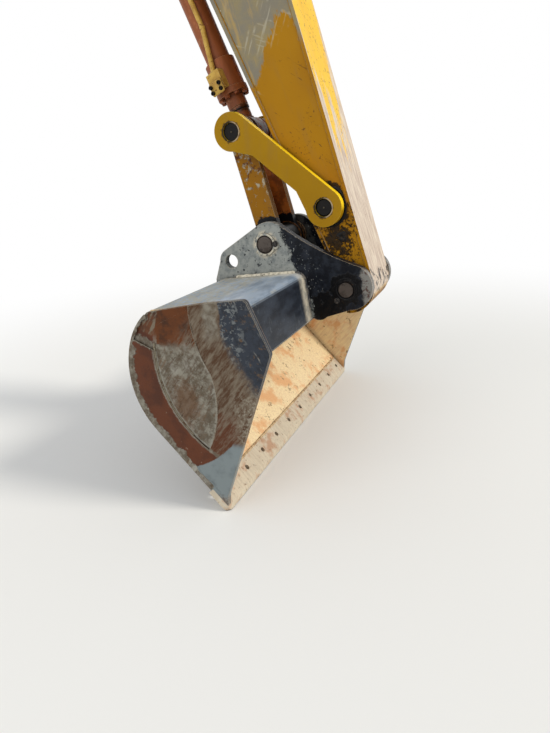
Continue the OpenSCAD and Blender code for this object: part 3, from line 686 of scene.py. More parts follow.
def lay_rear_plate(f, arm, film, bare, on_web):
    """The rear plate: a lighter yellow as painted sunlight, rubbed to pale streaks that grow towards the tip
    and the plate's edges."""
    _, across, up = arm.parts()
    # Painted sunlight: the faces that look to the rear take a lighter yellow than the arm
    rear = f.facing(-ARM_OUT).fade(0.75, 0.92)
    yellow = f.over(arm.spots(0.22, 0.42, 0.3, 4.0, stretch=3.0, shift=2.5), paint("flange"), (226, 172, 22))
    yellow.lay(arm.spots(0.05, 0.50, 0.2, 7.0, 0.7, stretch=6.0, shift=3.5) * 0.35, (206, 176, 110))
    yellow.lay(f.spots(0.016, 0.60, 0.03, 5.0, 0.62, shift=5.5) * 0.8, (146, 96, 36))
    film.lay(rear * ~bare, yellow)
    worn_cut = up.fade(0.10, 1.25, 0.26, 0.62) + abs(across).fade(0.07, FLANGE_Y) * up.fade(1.5, 0.7) * -0.20
    bald = (arm.noise(0.035, 7.0, 0.66, 9.0, 1.3) - worn_cut).fade(0.0, 0.07) * up.fade(2.3, 1.6)
    pale = f.over(arm.noise(0.012, 6.0, 0.68, 9.0, 4.1).fade(0.36, 0.64), (184, 162, 146), (222, 208, 188))
    pale.lay(f.spots(0.025, 0.62, 0.06, 6.0, 0.7, shift=6.1) * 0.8, (150, 112, 84))
    film.lay(rear * bald, pale)
    rim = abs(across).fade(FLANGE_Y - 0.016, FLANGE_Y - 0.004) * ~on_web
    film.lay(rim * arm.spots(0.05, 0.40, 0.08, stretch=6.0, shift=8.0) * 0.9, (206, 184, 158))


def lay_arm_grease(f, film, on_web):
    """Grease round the idler, in a patch below it and round the tip, with dark spatter about it."""
    smear = f.noise(0.035, 6.0, 0.68)
    ring = f.from_axis(IDLER).fade(0.135, 0.10) * f.from_axis(IDLER).fade(0.060, 0.08) * 0.75
    below = f.from_axis(on_arm(out=-0.02, up=0.245), squash=0.9).fade(0.145, 0.03)
    near = (ring | below) * on_web | f.from_axis(BUCKET_PIN).fade(0.18, 0.1) * 0.8
    grease = (near * 0.40 + smear).fade(0.76, 0.84)
    spatter = f.from_axis(on_arm(out=-0.02, up=0.25), squash=0.8).fade(0.30, 0.08)
    spatter = (spatter * 0.16 + f.noise(0.014, 7.0, 0.72, shift=14.0)).fade(0.68, 0.72)
    film.lay(spatter * on_web * 0.85, (40, 26, 12))
    film.lay(grease * 0.92, paint("grease"))
    return grease, smear


def link_paint():
    """Fresh satin yellow on the side links, with lighter yellow edges that are both rubbed and a painted
    highlight, a painted highlight on the faces that look up and back, and painted shade in the corners.
    """
    f = Finish("link_paint")
    film, bare = satin_paint(f, paint("link"), (156, 114, 2), f, 0.1)
    # Lighter yellow along the edges: rubbed paint and a painted highlight
    film.lay(f.rubbed(0.004, 0.03, 0.42, 0.75) * 0.75, (236, 200, 40))
    # Painted highlight on the faces that look up and back
    film.lay(f.facing((-0.40, 0.0, 0.92)).fade(0.15, 0.6), (252, 212, 36))
    film.lay(f.spots(0.012, 0.72, 0.02, shift=2.0) * 0.7, (100, 76, 24))
    near = f.from_axis(IDLER).fade(0.058, 0.045) | f.from_axis(LINK).fade(0.058, 0.045)
    grease = (near * 0.3 + f.noise(0.02, 5.0, 0.6)).fade(0.70, 0.80)
    film.lay(grease * 0.7, (60, 44, 16))
    # Painted shade in the corners
    film.lay(f.corners(0.02) * 0.7, (84, 64, 18))
    f.relief((f.noise(0.004, 3.0), 0.0002), (bare * -1.0, 0.0004), radius=0.004)
    return f.done(film, grease.pick(0.38, 0.3), spec=0.12)


def h_link_paint():
    """Old ochre paint on the H-link: chipped and grey at the top, brown inside its arms and lighter there as
    painted sunlight, black at the tube, with a painted highlight on the edges that face back and painted
    shade in the corners."""
    f = Finish("h_link_paint")
    local = f.framed(EAR_LINK, H_LEAN)
    _, across, up = local.parts()
    film, bare = satin_paint(f, paint("h_link"), (134, 90, 26), local, 0.9)
    chips = (f.noise(0.03, 6.0, 0.7, shift=3.0) + up.fade(0.15, 0.42, 0.0, 0.07)).fade(0.585, 0.615)
    under = f.over(f.spots(0.06, 0.45, 0.1, shift=5.0), (96, 56, 30), (176, 168, 146))
    film.lay(chips * up.fade(0.1, 0.4, 0.7, 1.0), under)
    top = (f.from_axis(LINK).fade(0.16, 0.07) * 0.3 + f.noise(0.035, 6.0, 0.68, shift=6.0)).fade(0.70, 0.76)
    film.lay(top * 0.85, (170, 160, 138))
    # Brown inner faces of the arms, made lighter as painted sunlight
    inside = abs(across).fade(0.129, 0.121) * abs(f.facing(ACROSS)).fade(0.6, 0.9)
    film.lay(inside * 0.9, f.over(f.spots(0.05, 0.4, 0.2), (216, 124, 56), (150, 82, 42)))
    # Painted highlight in cream on the edges that face back
    film.lay(f.rubbed(0.007, 0.03, 0.42, 0.75) * f.facing(-H_OUT).fade(-0.2, 0.5), (252, 230, 186))
    grease = (f.from_axis(EAR_LINK).fade(0.17, 0.08) * 0.6 + f.noise(0.04, 6.0, 0.65)).fade(0.74, 0.84)
    film.lay(grease, (24, 26, 30))
    # Painted shade in the corners
    film.lay(f.corners(0.03) * 0.6, (46, 32, 20))
    f.relief((f.noise(0.004, 3.0), 0.0003), ((bare | chips) * -1.0, 0.0006), radius=0.004)
    return f.done(film, grease.pick(0.5, 0.34), spec=0.1)


def cylinder_primer():
    """Terracotta primer on the barrel, head and rod eye, with a painted highlight in lighter patches on the
    side that faces forward, pale flecks, oil stains below the seals and painted shade in the corners."""
    f = Finish("cylinder_primer")
    local = f.framed(BASE, ROD_LEAN)
    down = local.parts()[2]
    stains = local.noise(0.09, 4.0, 0.55, 5.0)
    film = f.over(stains.fade(0.35, 0.7), paint("cylinder"), (112, 61, 33))
    # Painted highlight: lighter patches on the faces that look forward
    film.lay(f.spots(0.025, 0.50, 0.2, 5.0) * f.facing(-ROD_REAR).fade(-0.4, 0.7) * 0.65, (196, 132, 92))
    film.lay(local.spots(0.012, 0.68, 0.04, 5.0, 0.6, stretch=3.0, shift=2.0) * 0.5, (206, 176, 140))
    film.lay(f.rubbed(0.004, 0.01, 0.6, 1.0) * 0.7, (206, 160, 118))
    seal = down.fade(ROD_REACH - 0.135, ROD_REACH - 0.118) * down.fade(ROD_REACH - 0.08, ROD_REACH - 0.11)
    near = seal | f.from_axis(LINK).fade(0.10, 0.066)
    oil = (near * 0.35 + f.noise(0.03, 5.0, shift=3.0)).fade(0.66, 0.80)
    film.lay(oil * 0.8, (46, 26, 16))
    # Painted shade in the corners
    film.lay(f.corners(0.03) * 0.8, (58, 32, 18))
    f.relief((f.noise(0.005, 4.0), 0.0003), (stains, 0.0004), radius=0.003)
    return f.done(film, oil.pick(0.5, 0.28))


def rod_chrome():
    """Ground chrome with a thin film of dust and oil."""
    f = Finish("rod_chrome")
    local = f.framed(BASE, ROD_LEAN)
    dusty = local.spots(0.06, 0.45, 0.25, 5.0)
    f.relief((local.noise(0.002, 2.0, stretch=(30.0, 30.0, 1.0)), 0.00005))
    return f.done(f.over(dusty * 0.5, (205, 205, 205), (150, 130, 104)), dusty.pick(0.14, 0.42), metal=1.0)


def pipe_paint():
    """Pale yellow paint on the oil pipe and its blocks, chipped to brown."""
    f = Finish("pipe_paint")
    chips = f.framed(BASE, ROD_LEAN).spots(0.016, 0.60, 0.04, 6.0, 0.68)
    film = f.over(f.spots(0.07, 0.4, 0.25, 4.0), paint("pipe"), (176, 134, 58))
    film.lay(chips, (124, 72, 36))
    film.lay(f.rubbed(0.003, 0.01) * 0.6, (236, 214, 150))
    # Painted shade in the corners
    film.lay(f.corners(0.02) * 0.75, (70, 48, 24))
    f.relief((chips * -1.0, 0.0004), (f.noise(0.004, 3.0), 0.0002), radius=0.002)
    return f.done(film, 0.46)


def ear_paint():
    """Black paint on the ears: worn to pale grey in front, greasy round the bucket pin, with cream edges that
    are both rubbed and a painted highlight, and painted shade in the corners."""
    f = Finish("ear_paint")
    x, y, z = f.framed(BUCKET_PIN).parts()
    film = f.over(f.spots(0.04, 0.42, 0.25), paint("ear"), (36, 40, 48))
    lit = f.over(f.spots(0.03, 0.42, 0.25, shift=2.0), paint("ear_worn"), (126, 130, 128))
    # The worn part lies forward of a line that leans back with height
    forward = x - (0.206 + z * 0.44)
    torn = f.ragged(0.06, 0.035, shift=1.5) + f.ragged(0.012, 0.014, shift=3.0)
    worn = (forward + torn).fade(-0.004, 0.012) * abs(y).fade(0.171, 0.186, 0.2, 1.0)
    holes = f.spots(0.022, 0.60, 0.03, 6.0, 0.7, shift=6.0) | f.spots(0.06, 0.62, 0.05, 7.0, 0.72, shift=7.0)
    film.lay(worn, f.over(holes, lit, (52, 54, 58)))
    specks = f.spots(0.011, 0.62, 0.03, 5.0, 0.66, shift=8.0) * forward.fade(-0.16, 0.0) * ~worn
    film.lay(specks * 0.9, (168, 172, 168))
    heel = (x + torn).fade(-0.075, -0.10) * 0.85
    film.lay(heel, f.over(f.spots(0.02, 0.5, 0.1), (140, 138, 132), (88, 66, 58)))
    # Cream along the edges: rubbed paint and a painted highlight
    film.lay(f.rubbed(0.004, 0.03, 0.50, 0.85), (206, 186, 158))
    smear = f.noise(0.035, 5.0, shift=4.0)
    lowest = x.fade(-0.05, 0.05) * z.fade(0.02, -0.05) * x.fade(0.26, 0.1)
    near = f.from_axis(BUCKET_PIN).fade(0.105, 0.06) | lowest
    grease = (near * 0.42 + smear).fade(0.70, 0.80)
    film.lay(grease, (15, 15, 17))
    rim = f.from_axis(EAR_LINK).fade(0.075, 0.056) * f.spots(0.02, 0.42, 0.1, shift=9.0)
    film.lay(rim * f.facing(ACROSS).fade(-0.9, 0.9, 0.4, 0.9), (214, 204, 182))
    film.lay(f.from_axis(EAR_LINK).fade(0.047, 0.043), (40, 28, 22))
    # Painted shade in the corners
    film.lay(f.corners(0.03) * 0.7, (16, 15, 15))
    f.relief((f.noise(0.006, 5.0, 0.6), 0.0006), (worn * ~holes, -0.0004), (grease * smear, 0.003),
             radius=0.004)
    return f.done(film, grease.pick(worn.pick(0.36, 0.58), 0.24), spec=0.15)


def pin_steel():
    """Turned steel pin ends in a film of grease, with painted shade in the corners, and the idler and link
    pins near black as painted shade, as if deep in their bores.
    """
    f = Finish("pin_steel")
    film = f.over(f.spots(0.03, 0.45, 0.3, 3.0), (86, 78, 72), (62, 54, 48))
    # Painted shade in the corners, with dark spots of grease
    film.lay(f.corners(0.02) | f.spots(0.02, 0.56, 0.1, 5.0) * 0.7, (26, 23, 22))
    # Painted shade: the idler and link pins near black
    ends = f.from_axis(IDLER).fade(0.09, 0.07) | f.from_axis(LINK).fade(0.09, 0.07)
    film.lay(ends * 0.95, (14, 13, 12))
    f.relief((f.noise(0.004, 3.0), 0.0004), radius=0.003)
    return f.done(film, 0.4, metal=0.55)


def bucket_rim(f, x, z):
    """How far inside the bucket's outer line a place lies, from the floor's line and then the two rolled
    curves, and how far along the floor it lies."""
    dx, dz = x - LIP_TIP[0], z - LIP_TIP[1]
    along = dx * math.cos(FLOOR_TURN) + dz * math.sin(FLOOR_TURN)
    inward = dx * -math.sin(FLOOR_TURN) + dz * math.cos(FLOOR_TURN)
    low = LOWER_R - f.from_axis(in_bucket(*LOWER_CENTRE))
    high = UPPER_R - f.from_axis(in_bucket(*UPPER_CENTRE))
    past = (x - CURVE_MEET[0]) * math.cos(MEET_TURN) + (z - CURVE_MEET[1]) * math.sin(MEET_TURN)
    curve = past.fade(-0.001, 0.001).pick(low, high)
    return along.fade(FLOOR_LONG - 0.001, FLOOR_LONG + 0.001).pick(inward, curve), along


def leaf_bounds(f, z):
    """How far a place lies outside the heel's arc, and behind the front line of two arcs that meet at a
    height."""
    heel = f.from_axis(in_bucket(*HEEL_CENTRE)) - HEEL_R
    high = FRONT_HIGH_R - f.from_axis(in_bucket(*FRONT_HIGH))
    low = f.from_axis(in_bucket(*FRONT_LOW)) - FRONT_LOW_R
    return heel, z.fade(FRONT_BEND + 0.001, FRONT_BEND - 0.001).pick(high, low)


def leaf_heart(f, torn):
    """1 at the heart of the leaf of mud, where the mud is thin."""
    return (f.from_axis(in_bucket(*LEAF_HEART), squash=0.72) + torn * 3.0).fade(0.11, 0.03)


def scratched_mud(bucket):
    """Diagonal scratches in the mud, from 0 to 1: noise drawn out along a turned axis."""
    return bucket.turned(-38).noise(0.012, 8.0, 0.72, 5.0, 8.0).fade(0.50, 0.66)


def dried_mud(f, shift=0.0):
    """Pale dried mud with darker damp lumps."""
    mud = f.over(f.noise(0.040, 9.0, 0.76, shift=shift).fade(0.40, 0.62), (98, 88, 74), paint("mud"))
    mud.lay(f.spots(0.07, 0.50, 0.2, 8.0, 0.7, shift=shift + 1.0) * 0.6, (158, 154, 144))
    return mud


def inside_steel(f, bucket):
    """Scoured steel inside the bucket: pale cream, with orange rust and brown soil in its corners."""
    lines = bucket.turned(-43.5).noise(0.010, 5.0, 0.6, 9.0)
    film = f.over(lines.fade(0.35, 0.68), paint("floor"), (230, 202, 160))
    film.lay(f.spots(0.15, 0.47, 0.16, 5.0) * 0.7, (224, 158, 100))
    film.lay(f.spots(0.045, 0.58, 0.06, 7.0, 0.7, shift=3.3) * 0.85, (148, 116, 84))
    film.lay(f.spots(0.02, 0.67, 0.04, 5.0, shift=4.3), (236, 226, 200))
    return film, lines


class SideCoat(Finish):
    """The bucket's sides: a smooth brown heel strip in a rim of mud, a leaf of mud between two arcs, a
    streaked brown band, old dark paint above in front, and smooth pale steel by the lip. Inside they are
    scoured, with painted shade in brown over their upper rear. Painted shade lies in the corners."""

    def __init__(self):
        super().__init__("side_coat")
        self.bucket = self.framed(BUCKET_PIN)
        self.x, self.y, self.z = self.bucket.parts()
        self.fine = self.ragged(0.012, 0.010)
        self.coarse = self.ragged(0.045, 0.022, shift=2.0)
        self.torn = self.fine + self.coarse
        self.heel, self.front = leaf_bounds(self, self.z)
        self.strip = self.heel.fade(-0.002, 0.002)
        self.streaks = self.bucket.turned(-38).noise(0.014, 7.0, 0.68, 4.5)
        self.mud = dried_mud(self)
        self.brown = self.over(self.spots(0.05, 0.42, 0.25), paint("rust"), (68, 42, 27))
        self.heart = leaf_heart(self, self.torn)
        self.leaf = self.heel.fade(0.002, -0.002) * self.front.fade(0.002, -0.002)
        self.leaf = self.leaf * (self.z + self.torn * 1.2).fade(-0.08, -0.13)
        band = (self.x + self.fine).fade(0.306, 0.298)
        self.blue = (self.z + 0.545 - self.x * 1.62 + self.torn * 2.4).fade(-0.05, 0.07) * band
        self.lip = (self.from_axis(in_bucket(0.655, -0.215)) + self.fine * 0.5).fade(0.472, 0.477)
        self.lip = self.lip * self.z.fade(-0.50, -0.53)

    def paint_side(self):
        """Lays the coats, from the brown steel up to the corners' painted shade, and gives the material."""
        grey_share = (self.x * -1.0 + self.z * -0.9 + self.torn).fade(-0.50, -0.36)
        film = self.over(grey_share * self.streaks.fade(0.38, 0.56) * 0.9, self.brown, (122, 113, 98))
        film.lay(self.leaf, self.leaf_mud())
        film.lay(self.front.fade(-0.002, 0.002), self.front_band())
        crack = abs(self.front + self.fine * 0.3).fade(0.007, 0.002) * self.z.fade(-0.55, -0.35)
        film.lay(crack * self.spots(0.06, 0.44, 0.1, shift=4.0) * 0.8, (44, 32, 22))
        wedge, rim_mud = self.lay_heel(film)
        self.lay_lip(film)
        film.lay(self.rubbed(0.005, 0.02, 0.50, 0.85), (160, 150, 132))
        film.lay(abs(self.y).fade(INNER_Y + 0.002, INNER_Y + 0.0005), self.inner_face())
        # Painted shade in the corners
        film.lay(self.corners(0.05) * 0.6, (60, 44, 30))
        muddy = self.leaf * ~self.heart | wedge | rim_mud
        self.relief((self.noise(0.008, 6.0, 0.65), 0.0007), (muddy * self.noise(0.02, 6.0, 0.6), 0.004),
                    (self.noise(0.4, 3.0), 0.012), radius=0.004)
        return self.done(film, (self.blue | self.strip * ~rim_mud | self.lip).pick(0.82, 0.42))

    def leaf_mud(self):
        """Mud between the arcs, thin and brown at its heart, with a dark scrape near its top."""
        scrape = (self.from_axis(in_bucket(0.578, -0.208), squash=0.6) + self.torn).fade(0.035, 0.012) * 0.9
        brown = self.over(self.streaks.fade(0.40, 0.60), (96, 64, 42), (124, 112, 94))
        film = self.over(self.heart | scrape, self.mud, brown)
        film.lay(self.bucket.strokes(-32, width=0.006, length=8.0, cut=0.58, shift=5.0) * 0.55, (104, 78, 56))
        film.lay(scratched_mud(self.bucket) * 0.75, (92, 68, 50))
        film.lay((abs(self.front) + self.fine * 0.8).fade(0.012, 0.003) * 0.8, (156, 152, 140))
        return film

    def front_band(self):
        """In front of the leaf: streaked brown, a pale band of mud, old dark paint and pale flecks by the
        edge."""
        film = self.over(self.streaks.fade(0.36, 0.64), (80, 56, 38), (120, 108, 92))
        dusk = (self.z + self.torn * 1.5).fade(-0.36, -0.42) * self.x.fade(0.22, 0.28)
        film.lay(dusk, self.over(self.streaks.fade(0.40, 0.72), (88, 50, 30), (122, 110, 94)))
        pale = (abs(self.x - 0.345) * 1.0 + self.torn).fade(0.045, 0.015) * self.z.fade(-0.10, 0.0)
        film.lay(pale * 0.8, self.mud)
        dark = self.over(self.spots(0.025, 0.44, 0.2), paint("blue"), (34, 38, 46))
        flaked = self.spots(0.018, 0.53, 0.07, 6.0, 0.7, shift=3.0) * self.x.fade(0.14, 0.27)
        dark.lay(flaked, (112, 116, 116))
        dark.lay(self.spots(0.035, 0.57, 0.06, 8.0, 0.74, shift=4.4), (88, 70, 54))
        dark.lay(self.bucket.strokes(35, width=0.004, length=7.0, cut=0.62, shift=6.0) * 0.7, (140, 138, 130))
        film.lay(self.blue, dark)
        flecks = self.spots(0.014, 0.52, 0.05, 6.0, 0.7, shift=9.0) * self.z.fade(-0.22, -0.34)
        film.lay(flecks * self.x.fade(0.30, 0.20) * 0.85, (148, 140, 124))
        return film

    def lay_heel(self, film):
        """The heel strip, with mud above it in a wedge and along the outer line."""
        smooth = self.over(self.spots(0.10, 0.42, 0.25, 3.0), paint("heel"), (74, 36, 17))
        smooth.lay(self.spots(0.02, 0.68, 0.03, 5.0, shift=5.0) * 0.9, (160, 136, 116))
        film.lay(self.strip, smooth)
        top = (self.x - 0.628) * -0.345 + (self.z + 0.126) * 0.939
        wedge = (top + self.fine).fade(-0.006, 0.0) * (top + self.coarse).fade(0.036, 0.026)
        wedge = wedge * self.x.fade(0.58, 0.60)
        behind = self.over(self.streaks.fade(0.5, 0.62), self.brown, (118, 106, 88))
        film.lay(top.fade(0.05, 0.06) * self.strip, behind)
        rim, _ = bucket_rim(self, self.x, self.z)
        rim_mud = (rim + self.z.fade(-0.14, -0.10, 0.0, 0.022) + self.torn).fade(0.036, 0.030)
        rim_mud = rim_mud * (self.heel.fade(-0.01, 0.0) | self.z.fade(-0.45, -0.5))
        inner_rim = abs(self.heel + self.fine * 0.6 + 0.002).fade(0.012, 0.006) * self.z.fade(-0.04, -0.12)
        film.lay((wedge | rim_mud | inner_rim * 0.9) * 0.95, self.mud)
        return wedge, rim_mud

    def lay_lip(self, film):
        """Smooth steel by the lip, outside a circle, and scuffed at its tip."""
        film.lay(self.lip, self.over(self.spots(0.10, 0.45, 0.25, 3.0), (124, 133, 134), (104, 112, 114)))
        scuffed = self.lip * (self.z + self.torn).fade(-0.77, -0.80)
        scuffs = self.over(self.spots(0.012, 0.45, 0.1, 6.0, 0.7), (96, 76, 62), (140, 130, 118))
        film.lay(scuffed * 0.8, scuffs)

    def inner_face(self):
        """The scoured inner faces, with painted shade in brown over their upper rear."""
        film, _ = inside_steel(self, self.bucket)
        # Painted shade: darker brown over the upper rear of the inner faces
        shaded = (self.z + self.x * -0.9 + self.coarse * 2.0).fade(-0.30, -0.22)
        film.lay(shaded * 0.75, self.over(self.spots(0.03, 0.45, 0.15), (112, 70, 40), (84, 58, 40)))
        return film


def beam_paint():
    """The bucket's top beam: dark paint with pale scratches in front, a painted reflection in smooth
    blue-grey on the faces that look up, a pale strip by the ears as painted sunlight over mud-like bumps, and
    painted shade in the corners."""
    f = Finish("beam_paint")
    bucket = f.framed(BUCKET_PIN)
    x, y, _ = bucket.parts()
    coarse, fine = f.ragged(0.06, 0.02, shift=2.0), f.ragged(0.014, 0.008)
    film = f.over(f.spots(0.05, 0.34, 0.3, stretch=(1.0, 3.0, 1.0)), paint("blue"), (22, 26, 34))
    film.lay(f.spots(0.012, 0.60, 0.05, 6.0, 0.7, shift=3.0) * 0.5, (78, 84, 90))
    film.lay(bucket.strokes(20, width=0.006, length=9.0, cut=0.60, shift=3.0) * 0.4, (92, 98, 104))
    # Painted reflection: the faces that look up take a smooth pale blue-grey
    top = f.facing((0.0, 0.0, 1.0)).fade(0.45, 0.85)
    painted_reflection = f.over(f.spots(0.06, 0.42, 0.25, 5.0, stretch=(1.0, 3.0, 1.0)), (150, 164, 180), (116, 130, 146))
    painted_reflection.lay(f.spots(0.03, 0.52, 0.2, 6.0, 0.66, stretch=(1.0, 2.5, 1.0), shift=4.0) * 0.7, (184, 184, 174))
    film.lay(top, painted_reflection)
    # Painted sunlight: a pale strip beside the ears, with bumps and roughness as of mud
    reach = abs(y) - EAR_OUT
    sunlit_by_ear = (reach + fine + coarse * 0.5).fade(0.10, 0.03) * reach.fade(-0.01, 0.0)
    ear_sunlit = f.over(f.spots(0.03, 0.45, 0.15), (226, 214, 190), (186, 180, 166))
    film.lay(sunlit_by_ear * top.fade(0.0, 1.0, 0.75, 0.6), ear_sunlit)
    behind = (x + coarse).fade(0.35, 0.43) * 0.8
    film.lay(behind * f.spots(0.02, 0.42, 0.12, shift=5.0), (158, 154, 138))
    film.lay((abs(y) + coarse).fade(BUCKET_Y - 0.10, BUCKET_Y - 0.05) * top * 0.7, (164, 156, 138))
    soil = f.over(f.spots(0.03, 0.45, 0.15), (128, 92, 58), (92, 62, 42))
    film.lay(f.facing((-0.3, 0.0, -0.95)).fade(0.6, 0.9), soil)
    film.lay(f.rubbed(0.006, 0.03, 0.50, 0.9), (170, 168, 160))
    # Painted shade in the corners
    film.lay(f.corners(0.05) * 0.7, (40, 34, 30))
    f.relief((f.noise(0.008, 6.0, 0.65), 0.0004), (sunlit_by_ear * f.noise(0.02, 5.0), 0.003),
             (f.noise(0.35, 3.0), 0.010), radius=0.006)
    return f.done(film, (sunlit_by_ear | behind).pick(top.pick(0.46, 0.34), 0.85))


def shell_steel():
    """The bucket's rolled shell: scoured inside, soiled brown and grey outside with its sole ground
    bright, and painted shade in the corners."""
    f = Finish("shell_steel")
    bucket = f.framed(BUCKET_PIN)
    x, _, z = bucket.parts()
    film, lines = inside_steel(f, bucket)
    rim, along = bucket_rim(f, x, z)
    outer = rim.fade(0.006, 0.003)
    soiled = f.over(f.spots(0.10, 0.42, 0.3, 8.0, 0.7), paint("rust"), (66, 46, 34))
    caked = f.noise(0.16, 10.0, 0.78, stretch=(1.0, 2.0, 1.0), shift=4.0).fade(0.46, 0.60)
    soiled.lay(caked * 0.85, dried_mud(f, 3.0))
    wiped = f.noise(0.014, 4.0, 0.6, stretch=(1.0, 9.0, 1.0), shift=6.0).fade(0.4, 0.6)
    sole = (along + f.ragged(0.06, 0.02, shift=2.0) * 3.0).fade(0.62, 0.30)
    soiled.lay(sole * 0.9, f.over(wiped, (150, 146, 138), (112, 100, 86)))
    film.lay(outer, soiled)
    film.lay(f.rubbed(0.004, 0.02, 0.55, 0.9), (196, 182, 154))
    # Painted shade in the corners
    film.lay(f.corners(0.05) * 0.5, (112, 76, 48))
    f.relief((lines, 0.0005), (f.noise(0.01, 6.0, 0.65), 0.0009), (f.noise(0.4, 3.0), 0.012), radius=0.004)
    return f.done(film, outer.pick(0.55, 0.75))


def lip_steel():
    """The bolted cutting lip: pale ground steel with brown stains, bright along its front edge."""
    f = Finish("lip_steel")
    lines = f.framed(BUCKET_PIN).noise(0.010, 5.0, 0.6, (6.0, 1.0, 6.0))
    film = f.over(lines.fade(0.35, 0.65) * 0.4, (210, 197, 174), (174, 159, 138))
    film.lay(f.spots(0.08, 0.50, 0.16, 6.0) * 0.65, (176, 122, 86))
    film.lay(f.spots(0.02, 0.60, 0.05, 6.0, 0.7, shift=5.0) * 0.8, (122, 92, 68))
    film.lay(f.spots(0.03, 0.62, 0.05, 6.0, shift=2.0), (206, 200, 184))
    edge = f.rubbed(0.005, 0.02, 0.42, 0.8)
    film.lay(edge, (216, 204, 180))
    # Painted shade in the corners
    film.lay(f.corners(0.02) * 0.85, (64, 46, 32))
    f.relief((lines, 0.0001), (f.noise(0.007, 6.0, 0.65), 0.0004), (f.noise(0.12, 3.0), 0.002), radius=0.003)
    return f.done(film, edge.pick(0.62, 0.42))


def mud_crust():
    """Dried mud that stands on the plates: pale and cracked, and brown where it is thin at the leaf's
    heart."""
    f = Finish("mud_crust")
    bucket = f.framed(BUCKET_PIN)
    torn = f.ragged(0.012, 0.010) + f.ragged(0.045, 0.022, shift=2.0)
    film = f.over(leaf_heart(f, torn) * 0.75, dried_mud(f), (100, 72, 50))
    sizes = {"Vector": f.vector, "Scale": 38.0}
    cracks = f.give("ShaderNodeTexVoronoi", sizes, output="Distance", feature="DISTANCE_TO_EDGE")
    crack = cracks.fade(0.06, 0.0) * f.spots(0.09, 0.5, 0.1, 3.0, shift=2.0)
    film.lay(crack * 0.55, (92, 80, 62))
    film.lay(bucket.strokes(-32, width=0.006, length=8.0, cut=0.58, shift=5.0) * 0.5, (110, 84, 60))
    scratched = scratched_mud(bucket)
    film.lay(scratched * 0.7, (94, 72, 54))
    heel, front = leaf_bounds(f, bucket.parts()[2])
    crest = ((abs(front) & abs(heel)) + f.ragged(0.012, 0.008)).fade(0.016, 0.004)
    film.lay(crest * 0.85, (164, 160, 148))
    f.relief((f.noise(0.010, 6.0, 0.65), 0.0018), (scratched * -1.0, 0.0012), (crack, -0.0010))
    return f.done(film, 0.9)


def mud_ridge():
    """Ridges of mud along the ears' feet, pale as painted sunlight, with dark weld spatter."""
    f = Finish("mud_ridge")
    # Painted sunlight: the pale tones of the ridges
    film = f.over(f.spots(0.02, 0.45, 0.2), (232, 222, 200), (182, 172, 150))
    film.lay(f.spots(0.03, 0.62, 0.05, 6.0, shift=3.0), (92, 84, 76))
    f.relief((f.noise(0.008, 5.0, 0.6), 0.0015))
    return f.done(film, 0.85)


def weld_steel(name, base, worn):
    """A weld bead under paint or dirt: the plate's colour, with worn crests and painted shade at its toes."""
    f = Finish(name)
    film = f.over(f.spots(0.02, 0.42, 0.2), base, worn)
    # Painted shade at the toes
    film.lay(f.corners(0.012) * 0.7, (52, 40, 28))
    f.relief((f.noise(0.003, 3.0), 0.0004))
    return f.done(film, 0.55)


def black_steel(name, base, film, rough=0.4, metal=0.3):
    """Oiled black bolts, rubber seals and grease: two dark tones in soft lumps."""
    f = Finish(name)
    f.relief((f.noise(0.006, 4.0), 0.0005))
    return f.done(f.over(f.spots(0.010, 0.48, 0.18, 4.0), base, film), rough, metal=metal, spec=0.15)


def bush_steel():
    """A turned steel bush, dark with oil and painted shade, with a painted highlight of turned steel on its
    rear side.
    """
    f = Finish("bush_steel")
    x = f.parts()[0]
    between = (IDLER[0] + LINK[0]) / 2
    nearest = x.fade(between - 0.001, between + 0.001).pick(float(IDLER[0]), float(LINK[0]))
    # Painted highlight on the rear side of each bush, painted shade on the rest
    lit = (x - nearest + f.ragged(0.03, 0.01)).fade(0.005, -0.025)
    turned = f.over(f.spots(0.02, 0.5, 0.2, 4.0), (176, 156, 128), (128, 106, 80))
    f.relief((f.noise(0.003, 2.0), 0.0002))
    return f.done(f.over(lit, (34, 26, 18), turned), 0.45, metal=0.2)


# Paths for welds and mud
def flat_edge(node, across, ups, side):
    """A plate's edge: its flat face at a distance across is cut by lines of even height along the arm, and
    the furthest crossing to one side is kept. Gives the places along the arm."""
    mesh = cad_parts[node].data
    points = np.empty(3 * len(mesh.vertices))
    mesh.vertices.foreach_get("co", points)
    mesh.calc_loop_triangles()
    index = np.empty(3 * len(mesh.loop_triangles), int)
    mesh.loop_triangles.foreach_get("vertices", index)
    corners = points.reshape(-1, 3)[index.reshape(-1, 3)]
    flat = corners[np.all(np.abs(corners[..., 1] - across) < 2e-4, axis=1)] - BUCKET_PIN
    first, second = flat.reshape(-1, 3), np.roll(flat, -1, axis=1).reshape(-1, 3)
    low, high = first @ ARM_UP, second @ ARM_UP
    span = np.where(np.abs(high - low) < 1e-9, 1e-9, high - low)
    share = (ups[:, None] - low) / span
    outs = first @ ARM_OUT + share * (second @ ARM_OUT - first @ ARM_OUT)
    missed = -side * 9.0
    outs = np.where((share >= 0) & (share <= 1), outs, missed)
    outs = outs.max(1) if side > 0 else outs.min(1)
    kept = outs != missed
    return BUCKET_PIN + outs[kept, None] * ARM_OUT + ups[kept, None] * ARM_UP + across * ACROSS


def moved(path, out, across):
    """A path moved out in front of the arm's line and across it."""
    return path + out * ARM_OUT + across * ACROSS


def mirrored(path):
    """A path on the other side of the machine's middle."""
    return path * np.array([1.0, -1.0, 1.0])


